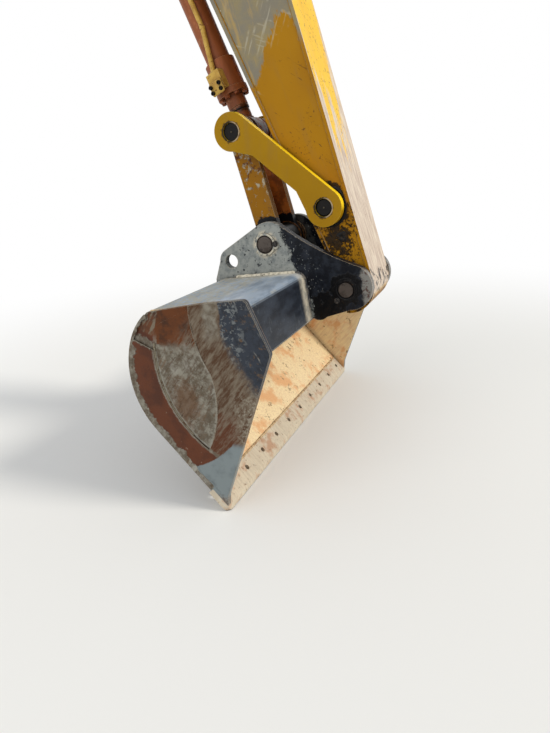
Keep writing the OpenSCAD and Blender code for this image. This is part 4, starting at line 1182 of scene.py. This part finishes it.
def rod_ring(middle, radius, size):
    """A ring weld about the cylinder's axis: the middle plus the radius turned between two directions
    square to the axis."""
    first = np.cross(ROD_DOWN, ACROSS)
    first = first / np.linalg.norm(first)
    second = np.cross(ROD_DOWN, first)
    turn = np.radians(np.linspace(0.0, 362.0, 96))[:, None]
    return bead(middle + radius * (np.cos(turn) * first + np.sin(turn) * second), size, ROD_DOWN)


def saddle(radius, across_radius, size):
    """The weld between the rod's neck and its eye: each point of the neck's circle slides along the neck
    until it meets the eye, at the square root of the eye's radius squared less the sideways distance
    squared."""
    turn = np.radians(np.linspace(0.0, 362.0, 96))
    side = radius * np.cos(turn)
    up = np.sqrt(across_radius ** 2 - side ** 2)
    path = LINK + side[:, None] * ROD_REAR - up[:, None] * ROD_DOWN + radius * np.sin(turn)[:, None] * ACROSS
    return bead(path, size, ROD_DOWN)


def round_corner(before, corner, after, radius, steps=10):
    """A corner of two lines as an arc that touches both."""
    before, corner, after = (np.asarray(p, float) for p in (before, corner, after))
    one = (before - corner) / np.linalg.norm(before - corner)
    two = (after - corner) / np.linalg.norm(after - corner)
    half = math.acos(float(one @ two)) / 2
    middle = corner + (one + two) / np.linalg.norm(one + two) * radius / math.sin(half)
    start, end = corner + one * radius / math.tan(half), corner + two * radius / math.tan(half)
    share = np.linspace(0.0, 1.0, steps)[:, None]
    way = start - middle + share * (end - start)
    return middle + radius * way / np.linalg.norm(way, axis=1, keepdims=True)


def beam_path(start, end):
    """The top beam's outer line, from the pin: its back edge, the front corner and its lower edge. start
    and end are shares of its length."""
    arc = round_corner(BACK_TOP, BEAM_CORNER, BEAM_LOW, BEAM_CORNER_R)
    path = np.concatenate([[BACK_TOP], arc, [BEAM_LOW]])
    reach = np.concatenate([[0.0], np.cumsum(np.linalg.norm(np.diff(path, axis=0), axis=1))])
    at = np.linspace(start * reach[-1], end * reach[-1], 90)
    return np.stack([np.interp(at, reach, path[:, 0]), np.interp(at, reach, path[:, 1])], -1)


def flat_path(path, across):
    """Places in the bucket's side view, set at a distance across."""
    path = np.asarray(path, float)
    return BUCKET_PIN + np.stack([path[..., 0], np.full(path.shape[:-1], across), path[..., 1]], -1)


def outer_line(inset, start, steps=60):
    """The bucket's outer line, from a length along its floor to its back: the floor's line, then two arcs
    whose radii are less by the inset. Also gives the directions that point inward."""
    floor_way = np.array([math.cos(FLOOR_TURN), math.sin(FLOOR_TURN)])
    floor_in = np.array([-floor_way[1], floor_way[0]])
    along = np.linspace(start, FLOOR_LONG, steps)[:, None]
    line = np.array(LIP_TIP) + along * floor_way + inset * floor_in
    parts, ways = [line], [np.tile(floor_in, (steps, 1))]
    for middle, radius, first, last in ((LOWER_CENTRE, LOWER_R, FLOOR_TURN, MEET_TURN),
                                        (UPPER_CENTRE, UPPER_R, MEET_TURN, BACK_TURN)):
        turn = np.linspace(first, last, steps)[1:, None] - math.pi / 2
        away = np.concatenate([np.cos(turn), np.sin(turn)], 1)
        parts.append(np.array(middle) + (radius - inset) * away)
        ways.append(-away)
    return np.concatenate(parts), np.concatenate(ways)


def on_lip(along, inward):
    """A place in the bucket's side view: along the floor's line from the lip's tip, and inward from it."""
    return np.array([LIP_TIP[0] + along * math.cos(FLOOR_TURN) - inward * math.sin(FLOOR_TURN),
                     LIP_TIP[1] + along * math.sin(FLOOR_TURN) + inward * math.cos(FLOOR_TURN)])


def front_line(z):
    """The front line of the side's wear plate at heights z, where two arcs meet: x from the circle's
    equation."""
    high = FRONT_HIGH[0] + np.sqrt(np.maximum(FRONT_HIGH_R ** 2 - (z - FRONT_HIGH[1]) ** 2, 0.0))
    low = FRONT_LOW[0] - np.sqrt(np.maximum(FRONT_LOW_R ** 2 - (z - FRONT_LOW[1]) ** 2, 0.0))
    return np.where(z > FRONT_BEND, high, low)


def on_both(middle, across, make, size):
    """A nipple or a bolt on each side of the middle, pointing away from it."""
    return [make(middle + side * across * ACROSS, side * ACROSS, size) for side in SIDES]


# The arm
class DIPPER_OT_paint_arm(Operator):
    """Paints the arm's plates and bosses"""
    bl_idname = "dipper.paint_arm"
    bl_label = "Paint the arm"

    def execute(self, context):
        starts = ("stick", "bracket", "tip_boss", "idler_boss", "boom", "crown")
        coat([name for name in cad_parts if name.startswith(starts)], arm_paint())
        coat([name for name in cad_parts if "pin" in name], pin_steel())
        return {"FINISHED"}


class DIPPER_OT_weld_arm(Operator):
    """Lays the arm's welds and fits its grease nipples and bolts"""
    bl_idname = "dipper.weld_arm"
    bl_label = "Weld the arm"

    def execute(self, context):
        piece("arm_welds", web_seams() + ring_seams() + bracket_seams(), "arm",
              weld_steel("weld_yellow", (172, 122, 10), (150, 106, 20)))
        nipples = on_both(BOOM + 0.085 * ARM_OUT, BOOM_FACE, grease_nipple, size=0.008)
        nipples += on_both(IDLER, PIN_END, grease_nipple, size=0.004)
        nipples += on_both(BASE, BASE_PIN_END, grease_nipple, size=0.007)
        nipples.append(grease_nipple(on_arm(out=0.097, up=0.0), ARM_OUT, size=0.008))
        piece("arm_grease_nipples", nipples, "arm", black_steel("nipple_steel", *NIPPLE_TONES))
        bolts = []
        for turn in (math.radians(45), math.radians(225)):
            way = math.cos(turn) * ROD_REAR + math.sin(turn) * ROD_DOWN
            bolts += on_both(BASE + 0.050 * way, BASE_PIN_END + 0.0003, hex_bolt, size=0.010)
        piece("base_pin_bolts", bolts, "arm",
              black_steel("bolt_steel", (74, 70, 64), (46, 40, 34), 0.42, 0.6))
        return {"FINISHED"}


def web_seams():
    """The seams along both edges of the webs."""
    rear = flat_edge("stick_web_left", WEB_Y, np.linspace(0.10, ARM_LENGTH + 0.3, 160), -1)
    front = flat_edge("stick_web_left", WEB_Y, np.linspace(0.22, ARM_LENGTH - 0.06, 130), 1)
    seams = []
    for path, out in ((rear, 0.001), (front, -0.001)):
        lifted = moved(path, out, 0.0008)
        seams += [bead(line, 0.55 * wear().weld, ACROSS, step=0.006, pitch=0.012)
                  for line in (lifted, mirrored(lifted))]
    return seams


def ring_seams():
    """Rings round the bosses: the middle, the radius, the height over the web and the share of a bead."""
    rings = ((IDLER, 0.0735, 0.001, 0.8), (BOOM, 0.1455, 0.001, 1.0), (BOOM, 0.1155, 0.013, 1.0),
             (centre("crown_bosses"), 0.0785, 0.001, 1.0))
    return [ring_bead(middle, radius, side * (WEB_Y + high), share * wear().weld)
            for side in SIDES for middle, radius, high, share in rings]


def bracket_seams():
    """The seams at the feet of the cylinder's brackets, on both faces of each."""
    foot = np.linspace(BRACKET_UP - 0.262, BRACKET_UP + 0.242, 60)
    seams = []
    for node, side in (("bracket_left", 1), ("bracket_right", -1)):
        for across, away in ((BRACKET_IN, -0.001), (BRACKET_OUT, 0.001)):
            path = moved(flat_edge(node, side * across, foot, -1), 0.001, side * away)
            seams.append(bead(path, wear().weld, ACROSS, step=0.005, pitch=0.012))
    return seams


class DIPPER_OT_soil_arm(Operator):
    """Puts grease and dirt round the arm's pins"""
    bl_idname = "dipper.soil_arm"
    bl_label = "Soil the arm"

    def execute(self, context):
        high = wear().grease_depth
        lumps_of_grease = []
        for side, seed in ((1, 2.0), (-1, 5.0)):
            idler, tip = IDLER + side * WEB_Y * ACROSS, BUCKET_PIN + side * TIP_FACE * ACROSS
            lumps_of_grease += [
                splat(idler, side, inner=0.076, outer=0.096, high=0.7 * high, seed=seed, reach=0.112),
                splat(tip, side, inner=0.045, outer=0.080, high=0.003, seed=seed + 1, reach=0.094)]
        for side, seed in ((1, 4.0), (-1, 8.0)):
            below = on_arm(out=-0.041, up=0.242, across=side * WEB_Y)
            lumps_of_grease.append(
                splat(below, side, inner=0.0015, outer=0.024, high=0.8 * high, seed=seed, reach=0.030))
        piece("arm_grease", lumps_of_grease, "arm",
              black_steel("thick_grease", (14, 13, 12), (46, 34, 22), 0.34, 0.0))
        return {"FINISHED"}


# The bucket cylinder
class DIPPER_OT_finish_cylinder(Operator):
    """Paints the bucket cylinder and its oil pipe"""
    bl_idname = "dipper.finish_cylinder"
    bl_label = "Finish the bucket cylinder"

    def execute(self, context):
        coat(["barrel", "cylinder_head", "rod_eye"], cylinder_primer())
        coat(["rod"], rod_chrome())
        coat(["pipe", "pipe_clamp", "port_block", "base_port"], pipe_paint())
        return {"FINISHED"}


def round_rod(degrees, radius, down, tangent=0.0):
    """A place round the cylinder's axis, turned from its rear towards the left and moved along the
    tangent, with the directions away from the axis and along the tangent."""
    turn = math.radians(degrees)
    away = math.cos(turn) * ROD_REAR + math.sin(turn) * ACROSS
    along = math.cos(turn) * ACROSS - math.sin(turn) * ROD_REAR
    return BASE + down * ROD_DOWN + radius * away + tangent * along, away, along


def soft_box(middle, ways, half, soft):
    """A block with soft corners: the eight-sided outline of two half widths, carried through the third and
    drawn in by the corner's size at both ends."""
    one, two, three = (np.asarray(way, float) for way in ways)
    a, b, c = half
    outline = np.array([(a, b - soft), (a - soft, b), (soft - a, b), (-a, b - soft),
                        (-a, soft - b), (soft - a, -b), (a - soft, -b), (a, soft - b)])
    rings = []
    for height, inset in ((-c, soft), (soft - c, 0.0), (c - soft, 0.0), (c, soft)):
        drawn = outline * (1.0 - inset / np.array([a, b]))
        rings.append(middle + drawn[:, :1] * one + drawn[:, 1:] * two + height * three)
    return closed_tube(np.stack(rings))


class DIPPER_OT_bolt_cylinder(Operator):
    """Fits the cylinder's bolts, pipe flange, welds and seals"""
    bl_idname = "dipper.bolt_cylinder"
    bl_label = "Bolt the cylinder"

    def execute(self, context):
        primer = weld_steel("painted_bolts", (158, 88, 50), (118, 62, 36))
        count = wear().head_bolts
        turns = np.arange(count) * 360.0 / count + 5.0
        places = [round_rod(turn, BOLT_CIRCLE, HEAD_FLANGE)[0] for turn in turns]
        bolts = [hex_bolt(place, ROD_DOWN, size=0.015) for place in places]
        piece("head_bolts", bolts, "cylinder", primer, smooth=False)
        rings = ((ROD_REACH - 0.355, BARREL_R + 0.0005, 0.005), (HEAD_FLANGE + 0.0015, 0.0505, 0.004),
                 (0.078, BARREL_R + 0.0005, 0.006))
        seams = [rod_ring(BASE + down * ROD_DOWN, radius, size) for down, radius, size in rings]
        piece("cylinder_welds", seams, "cylinder", primer)
        profile = [(0.0, 0.041), (0.0005, 0.0475), (0.004, 0.0475), (0.0045, 0.041)]
        seal = lathe(profile, BASE + (HEAD_FLANGE + 0.074) * ROD_DOWN, ROD_DOWN, sides=48)
        piece("wiper_seal", [seal], "cylinder",
              black_steel("seal_rubber", (22, 20, 19), (40, 32, 26), 0.5, 0.0))
        fit_pipe()
        return {"FINISHED"}


def fit_pipe():
    """The pipe's flange, its two ring welds and the bolts of its flange, its clamp and its lower block."""
    place, away, along = round_rod(FLANGE_TURN, radius=0.1180, down=HEAD_FLANGE - 0.039)
    pad = soft_box(place, (along, ROD_DOWN, away), half=(0.036, 0.030, 0.0075), soft=0.004)
    neck = round_rod(FLANGE_TURN, radius=0.0905, down=HEAD_FLANGE - 0.115)[0]
    foot = round_rod(PIPE_TURN, radius=0.082, down=0.302)[0]
    rings = [rod_ring(middle, radius=0.0125, size=0.004) for middle in (neck, foot)]
    piece("pipe_flange", [pad, *rings], "cylinder", pipe_paint())
    black = []
    for side in (-0.026, 0.026):
        for up in (-0.0135, 0.0135):
            place, away, _ = round_rod(FLANGE_TURN, radius=0.1254, down=HEAD_FLANGE - 0.0365 + up,
                                       tangent=side)
            black.append(socket_bolt(place, away, size=0.012))
        place, away, _ = round_rod(PIPE_TURN, radius=0.1040, down=0.642, tangent=0.92 * side)
        black.append(hex_bolt(place, away, size=0.010))
        for up in (-0.014, 0.014):
            place, away, _ = round_rod(PIPE_TURN, radius=0.1000, down=0.275 + up, tangent=0.75 * side)
            black.append(socket_bolt(place, away, size=0.010))
    piece("pipe_bolts", black, "cylinder",
          black_steel("black_bolts", (24, 22, 22), (58, 46, 34), 0.36, 0.5))


class DIPPER_OT_finish_rod_eye(Operator):
    """Welds the rod's eye and fits the black rings beside it"""
    bl_idname = "dipper.finish_rod_eye"
    bl_label = "Finish the rod's eye"

    def execute(self, context):
        weld = weld_steel("eye_weld", (142, 80, 48), (96, 54, 34))
        seam = saddle(NECK_R + 0.0002, EYE_R + 0.0002, size=0.005)
        piece("rod_eye_weld", [seam], "rod", weld)
        rubber = black_steel("ring_rubber", (20, 20, 22), (48, 40, 34), 0.42, 0.0)
        gap = 0.0275
        rings = [band(LINK + across * ACROSS, inner=PIN_R + 0.0008, outer=0.070, thick=gap, soft=0.3)
                 for across in (H_ARM_IN - gap, -H_ARM_IN)]
        piece("eye_rings", rings, "rod", rubber)
        way = 0.8 * ROD_DOWN - 0.6 * ROD_REAR
        piece("rod_eye_nipple", [grease_nipple(LINK + EYE_R * way, way, size=0.007)], "rod",
              black_steel("eye_nipple_steel", *NIPPLE_TONES))
        return {"FINISHED"}


# The links
class DIPPER_OT_finish_side_links(Operator):
    """Paints the side links and fits their bushes"""
    bl_idname = "dipper.finish_side_links"
    bl_label = "Finish the side links"

    def execute(self, context):
        coat(["side_link_left", "side_link_right"], link_paint())
        bushes = [band(pin + across * ACROSS, inner=PIN_R + 0.0006, outer=PIN_R + 0.0062, thick=0.0075,
                       soft=0.3)
                  for pin in (IDLER, LINK) for across in (LINK_OUT - 0.006, -LINK_OUT - 0.0015)]
        piece("side_link_bushes", bushes, "side_links", bush_steel())
        long = 0.039
        spacers = [band(LINK + (side * 0.151 - long / 2) * ACROSS, inner=PIN_R + 0.0008, outer=0.060,
                        thick=long, soft=0.12)
                   for side in SIDES]
        piece("link_spacers", spacers, "side_links",
              black_steel("spacer_steel", (40, 36, 32), (74, 58, 40), 0.5, 0.3))
        nipples = on_both(LINK, PIN_END, grease_nipple, size=0.004)
        piece("link_pin_nipples", nipples, "side_links",
              black_steel("link_nipple_steel", *NIPPLE_TONES))
        return {"FINISHED"}


class DIPPER_OT_finish_h_link(Operator):
    """Paints and welds the H-link"""
    bl_idname = "dipper.finish_h_link"
    bl_label = "Finish the H-link"

    def execute(self, context):
        coat(["h_link"], h_link_paint())
        seams = [ring_bead(EAR_LINK, TUBE_R + 0.0007, side * across, size=0.006)
                 for side in SIDES for across in (0.1312, H_ARM_IN + 0.0003)]
        ups = np.linspace(0.075, 0.40, 40)[:, None]
        front = EAR_LINK + 0.0345 * H_OUT + ups * H_UP
        seams += [bead(front + side * H_ARM_IN * ACROSS, 0.005, ACROSS, step=0.004, pitch=0.010)
                  for side in SIDES]
        piece("h_link_welds", seams, "h_link",
              weld_steel("weld_brown", (120, 82, 44), (66, 46, 32)))
        thick = 0.0032
        shims = [band(EAR_LINK + across * ACROSS, inner=PIN_R + 0.001, outer=0.0785, thick=thick, soft=0.3)
                 for across in (0.1633, -0.1633 - thick)]
        piece("h_link_shims", shims, "h_link", bush_steel())
        return {"FINISHED"}


# The bucket
class DIPPER_OT_finish_ears(Operator):
    """Paints the ears, with their foot welds, ridges of mud pale as painted sunlight, keeper bolts and grease
    """
    bl_idname = "dipper.finish_ears"
    bl_label = "Finish the ears"

    def execute(self, context):
        coat(["ear_left", "ear_right"], ear_paint())
        seams, ridges, bolts, grease = [], [], [], []
        foot, ridge = beam_path(0.09, 0.93), beam_path(0.10, 0.60) + np.array([0.0, 0.001])
        pin_inner = PIN_R + 0.001
        for side in SIDES:
            for across in (EAR_IN - 0.001, EAR_OUT + 0.001):
                line = flat_path(foot, side * across)
                seams.append(bead(line, 1.2 * wear().weld, ACROSS, step=0.005, pitch=0.012))
            line = flat_path(ridge, side * (EAR_OUT + 0.005))
            ridges.append(bead(line, 0.0105, ACROSS, step=0.006, pitch=0.043, sides=9))
            for pin, x, z in ((BUCKET_PIN, 0.042, -0.052), (EAR_LINK, -0.056, 0.004)):
                bolts.append(hex_bolt(pin + np.array([x, side * RING_Y, z]), side * ACROSS, size=0.013))
            face = side * (RING_Y - 0.0005) * ACROSS
            grease += [
                splat(BUCKET_PIN + face, side, pin_inner, outer=0.050, high=0.004, seed=3.0 + side,
                      reach=0.0565),
                splat(EAR_LINK + face, side, pin_inner, outer=0.044, high=0.0025, seed=6.0 + side,
                      reach=0.047)]
        piece("ear_welds", seams, "bucket",
              weld_steel("weld_dark", (58, 60, 66), (128, 120, 108)))
        # Ridges of mud along the ears' feet, pale as painted sunlight
        piece("ear_mud_ridges", ridges, "bucket", mud_ridge())
        piece("keeper_bolts", bolts, "bucket",
              black_steel("keeper_steel", (52, 50, 50), (96, 90, 82), 0.42, 0.4), smooth=False)
        piece("ear_grease", grease, "bucket",
              black_steel("ear_thick_grease", (12, 12, 13), (36, 30, 26), 0.3, 0.0))
        return {"FINISHED"}


class DIPPER_OT_finish_bucket(Operator):
    """Paints, rusts and scours the bucket's plates"""
    bl_idname = "dipper.finish_bucket"
    bl_label = "Finish the bucket"

    def execute(self, context):
        sides = ["side_plate_left", "side_plate_right", "side_wear_left", "side_wear_right"]
        coat(sides, SideCoat().paint_side())
        coat(["top_beam", "beam_floor"], beam_paint())
        coat(["bucket_shell"], shell_steel())
        coat(["lip"], lip_steel())
        return {"FINISHED"}


class DIPPER_OT_weld_bucket(Operator):
    """Lays the bucket's seams"""
    bl_idname = "dipper.weld_bucket"
    bl_label = "Weld the bucket"

    def execute(self, context):
        size = wear().weld
        inner, _ = outer_line(SHELL_PLATE - 0.001, LIP_DEPTH + 0.01)
        seams = []
        for side in SIDES:
            for path, across in ((inner, INNER_Y - 0.001), (beam_path(0.01, 0.99), INNER_Y - 0.0005)):
                seams.append(bead(flat_path(path, side * across), size, ACROSS, step=0.007, pitch=0.014))
        for inward in (0.0125, -0.0005):
            x, z = on_lip(LIP_DEPTH + 0.001, inward)
            ends = BUCKET_PIN + np.array([[x, -INNER_Y, z], [x, INNER_Y, z]])
            along = (math.cos(FLOOR_TURN), 0.0, math.sin(FLOOR_TURN))
            seams.append(bead(ends, size, along, step=0.007, pitch=0.014))
        piece("bucket_welds", seams, "bucket",
              weld_steel("weld_worn", (206, 180, 140), (150, 116, 82)))
        turn = np.radians(np.linspace(-46.0, 6.0, 70))[:, None]
        heel = np.array(HEEL_CENTRE) + HEEL_R * np.concatenate([np.cos(turn), np.sin(turn)], 1)
        z = np.linspace(-0.52, 0.045, 90)
        front = np.stack([front_line(z), z], -1)
        edges = [bead(flat_path(path, side * (SIDE_Y + 0.0015)), 0.0055, ACROSS, step=0.006, pitch=0.012)
                 for side in SIDES for path in (heel, front)]
        piece("wear_plate_welds", edges, "bucket",
              weld_steel("weld_muddy", (142, 134, 114), (92, 70, 50)))
        return {"FINISHED"}


class DIPPER_OT_soil_bucket(Operator):
    """Dries mud on the bucket's sides"""
    bl_idname = "dipper.soil_bucket"
    bl_label = "Soil the bucket"

    def execute(self, context):
        crust = mud_crust()
        piece("leaf_mud", [leaf_mud(side) for side in SIDES], "bucket", crust)
        piece("rim_mud", [rim_mud(side) for side in SIDES], "bucket", crust)
        return {"FINISHED"}


def leaf_mud(side):
    """The mud between the front line and the heel's arc: rows of even height, drawn from one line to the
    other. Its thickness is noise, less at its heart and falling to nothing at its ends."""
    low, high, rows, columns = -0.575, -0.135, 150, 60
    zs = np.linspace(low, high, rows)[:, None]
    share = np.linspace(0.0, 1.0, columns)[None]
    first = front_line(zs) + 0.002
    heel = HEEL_CENTRE[0] + np.sqrt(HEEL_R ** 2 - (zs - HEEL_CENTRE[1]) ** 2)
    last = np.maximum(heel - 0.002, first + 0.002)
    x = first + share * (last - first)
    z = zs + 0.0 * x
    wander = lumps(x, 0.0, z, 2.0 + side)
    fine = lumps(3.1 * x, 0.0, 3.1 * z, 5.0 + side)
    edge = np.clip(np.minimum(share, 1.0 - share) * (last - first) / 0.03, 0.0, 1.0)
    ends = np.clip((zs - low) / 0.03, 0.0, 1.0) * np.clip((high - zs + 0.02 * wander) / 0.05, 0.0, 1.0)
    heart = 1.0 - 0.8 * np.exp(-(((x - LEAF_HEART[0]) / 0.07) ** 2 + ((z - LEAF_HEART[1]) / 0.10) ** 2))
    thick = wear().mud_depth * heart * (0.45 + 0.35 * wander + 0.2 * fine) * (0.55 + 0.45 * edge)
    thick = np.maximum(thick, 0.0006) * ends ** 0.5 * np.minimum(1.0, 0.2 + 2.0 * edge) + 0.0002
    return skin(flat_path(np.stack([x, z], -1), side * SIDE_Y), side * ACROSS, thick)


def rim_mud(side):
    """The mud along the bucket's outer line: a strip whose width is noise, domed by a half sine across."""
    line, inward = outer_line(0.0, 0.13, 110)
    across = np.linspace(0.0, 1.0, 12)[None, :, None]
    at = np.arange(len(line)) * 0.004
    wide = 0.026 + 0.012 * lumps(at, 0.0, 1.7 * at, 4.0 + side)
    wide = np.where(line[:, 1] > -0.12, 0.4 * wide, wide)
    spread = line[:, None] + across * (0.001 + wide[:, None, None]) * inward[:, None]
    bump = lumps(spread[..., 0], 0.0, spread[..., 1], 7.0 + side)
    dome = np.sin(np.pi * np.clip(across[..., 0] * 0.96 + 0.04, 0.0, 1.0)) ** 0.5
    thick = 0.0034 * dome * np.clip(0.55 + 0.6 * bump, 0.05, 1.0) + 0.0001
    return skin(flat_path(spread, side * BUCKET_Y), side * ACROSS, thick)


# The stage
class DIPPER_OT_stage(Operator):
    """Sets the camera, the floor and the light"""
    bl_idname = "dipper.stage"
    bl_label = "Set the stage"

    def execute(self, context):
        set_camera()
        set_floor()
        set_light()
        return {"FINISHED"}


def set_camera():
    """The camera stands to the machine's left and in front, and looks down on the bucket."""
    pitch, yaw, roll = (math.radians(degrees) for degrees in (20.4703, 23.9849, 2.8572))
    level = np.array([math.sin(yaw), -math.cos(yaw), 0.0])
    right = np.cross(level, (0.0, 0.0, 1.0))
    ahead = math.cos(pitch) * level - math.sin(pitch) * np.array([0.0, 0.0, 1.0])
    down = np.cross(ahead, right)
    turned = math.cos(roll) * right + math.sin(roll) * down
    down = math.cos(roll) * down - math.sin(roll) * right
    camera = bpy.data.objects.new("camera", bpy.data.cameras.new("camera"))
    camera.data.lens = 27.01
    camera.data.sensor_width = 36.0
    camera.data.clip_start = 0.05
    camera.data.clip_end = 200.0
    place = BUCKET_PIN + np.array([-0.72372, 2.71197, 0.59278])
    axes = np.stack([turned, -down, -ahead, place], -1)
    camera.matrix_world = Matrix([*axes.tolist(), (0.0, 0.0, 0.0, 1.0)])
    bpy.context.scene.collection.objects.link(camera)
    bpy.context.scene.camera = camera


def seen_plainly(f):
    """1 for rays from the camera or off metal and glass, which see the white background."""
    path = f.add("ShaderNodeLightPath").outputs
    rays = [Field(f, path[f"Is {kind} Ray"]) for kind in ("Camera", "Glossy", "Transmission")]
    return rays[0] | rays[1] | rays[2]


def set_floor():
    """A pale flat floor: rings of growing radius. Far out it turns into the white surround."""
    corners, reaches = 96, (0.01, 3.0, 6.0, 10.0, 20.0, 60.0)
    turn = np.linspace(0.0, 2 * math.pi, corners, endpoint=False)
    radius = np.array(reaches)[:, None]
    flat = np.full((len(reaches), corners), GROUND)
    rings = np.stack([radius * np.cos(turn), radius * np.sin(turn), flat], -1)
    faces = grid_faces(len(reaches), corners)[:, ::-1].tolist() + [list(range(corners))[::-1]]
    mesh = bpy.data.meshes.new("floor")
    mesh.from_pydata(rings.reshape(-1, 3).tolist(), [], faces)
    floor = bpy.data.objects.new("floor", mesh)
    bpy.context.scene.collection.objects.link(floor)
    f = Finish("floor_plain")
    middle = (BUCKET_PIN[0], 0.0, GROUND)
    reach = f.give("ShaderNodeVectorMath", {0: f.framed(middle).vector}, output="Value", operation="LENGTH")
    white = f.give("ShaderNodeEmission", {"Color": (255, 255, 255), "Strength": 1.0})
    far = seen_plainly(f) * reach.fade(1.8, 5.5)
    mix = f.give("ShaderNodeMixShader", {0: far, 1: f.shader.outputs["BSDF"], 2: white})
    f.feed(f.out.inputs["Surface"], mix)
    mesh.materials.append(f.done((238, 237, 234), 0.9, spec=0.1))


def set_light():
    """A soft key lamp behind the right, a broad fill beside the camera and an even pale surround, which is
    plain white where it is seen."""
    scene = bpy.context.scene
    scene.view_settings.view_transform = "Standard"
    scene.world = bpy.data.worlds.new("surround")
    f = Nodes(scene.world)
    light = f.give("ShaderNodeBackground", {"Color": (0.94, 0.97, 1.0, 1.0), "Strength": 0.62})
    white = f.give("ShaderNodeBackground", {"Color": (255, 255, 255), "Strength": 1.0})
    mix = f.give("ShaderNodeMixShader", {0: seen_plainly(f), 1: light, 2: white})
    f.add("ShaderNodeOutputWorld", {"Surface": mix})
    for name, way, strength, spread, colour in (
            ("key", (0.80, 0.10, -0.60), 1.75, 12.0, (1.0, 0.96, 0.88)),
            ("fill", (-0.25, -0.9, -0.45), 0.75, 60.0, (0.97, 0.98, 1.0))):
        lamp = bpy.data.lights.new(name, "SUN")
        lamp.energy = strength
        lamp.angle = math.radians(spread)
        lamp.color = colour
        holder = bpy.data.objects.new(name, lamp)
        holder.location = tuple(-6 * np.array(way))
        holder.rotation_mode = "QUATERNION"
        holder.rotation_quaternion = Vector(way).to_track_quat("-Z", "Y")
        scene.collection.objects.link(holder)


OPERATORS = (DIPPER_OT_stage, DIPPER_OT_paint_arm, DIPPER_OT_weld_arm, DIPPER_OT_soil_arm,
             DIPPER_OT_finish_cylinder, DIPPER_OT_bolt_cylinder, DIPPER_OT_finish_rod_eye,
             DIPPER_OT_finish_side_links, DIPPER_OT_finish_h_link, DIPPER_OT_finish_ears,
             DIPPER_OT_finish_bucket, DIPPER_OT_weld_bucket, DIPPER_OT_soil_bucket)


class DIPPER_PT_panel(Panel):
    """Lists the colours, the sizes and the steps in the 3D view's sidebar"""
    bl_idname = "DIPPER_PT_panel"
    bl_label = "Dipper arm"
    bl_space_type = "VIEW_3D"
    bl_region_type = "UI"
    bl_category = "Dipper Arm"

    def draw(self, context):
        for group in (context.scene.dipper_paint, context.scene.dipper_wear):
            for name in group.bl_rna.properties.keys():
                if name not in ("rna_type", "name"):
                    self.layout.prop(group, name)
        for step in OPERATORS:
            self.layout.operator(step.bl_idname)


CLASSES = (DipperPaint, DipperWear, *OPERATORS, DIPPER_PT_panel)


def register():
    """Makes the classes and their settings known to Blender."""
    for made in CLASSES:
        bpy.utils.register_class(made)
    bpy.types.Scene.dipper_paint = PointerProperty(type=DipperPaint)
    bpy.types.Scene.dipper_wear = PointerProperty(type=DipperWear)


def unregister():
    """Takes the settings and the classes back."""
    del bpy.types.Scene.dipper_wear
    del bpy.types.Scene.dipper_paint
    for made in reversed(CLASSES):
        bpy.utils.unregister_class(made)


def main():
    """Runs every step."""
    register()
    for step in OPERATORS:
        group, name = step.bl_idname.split(".")
        getattr(getattr(bpy.ops, group), name)()


if __name__ == "__main__":
    main()
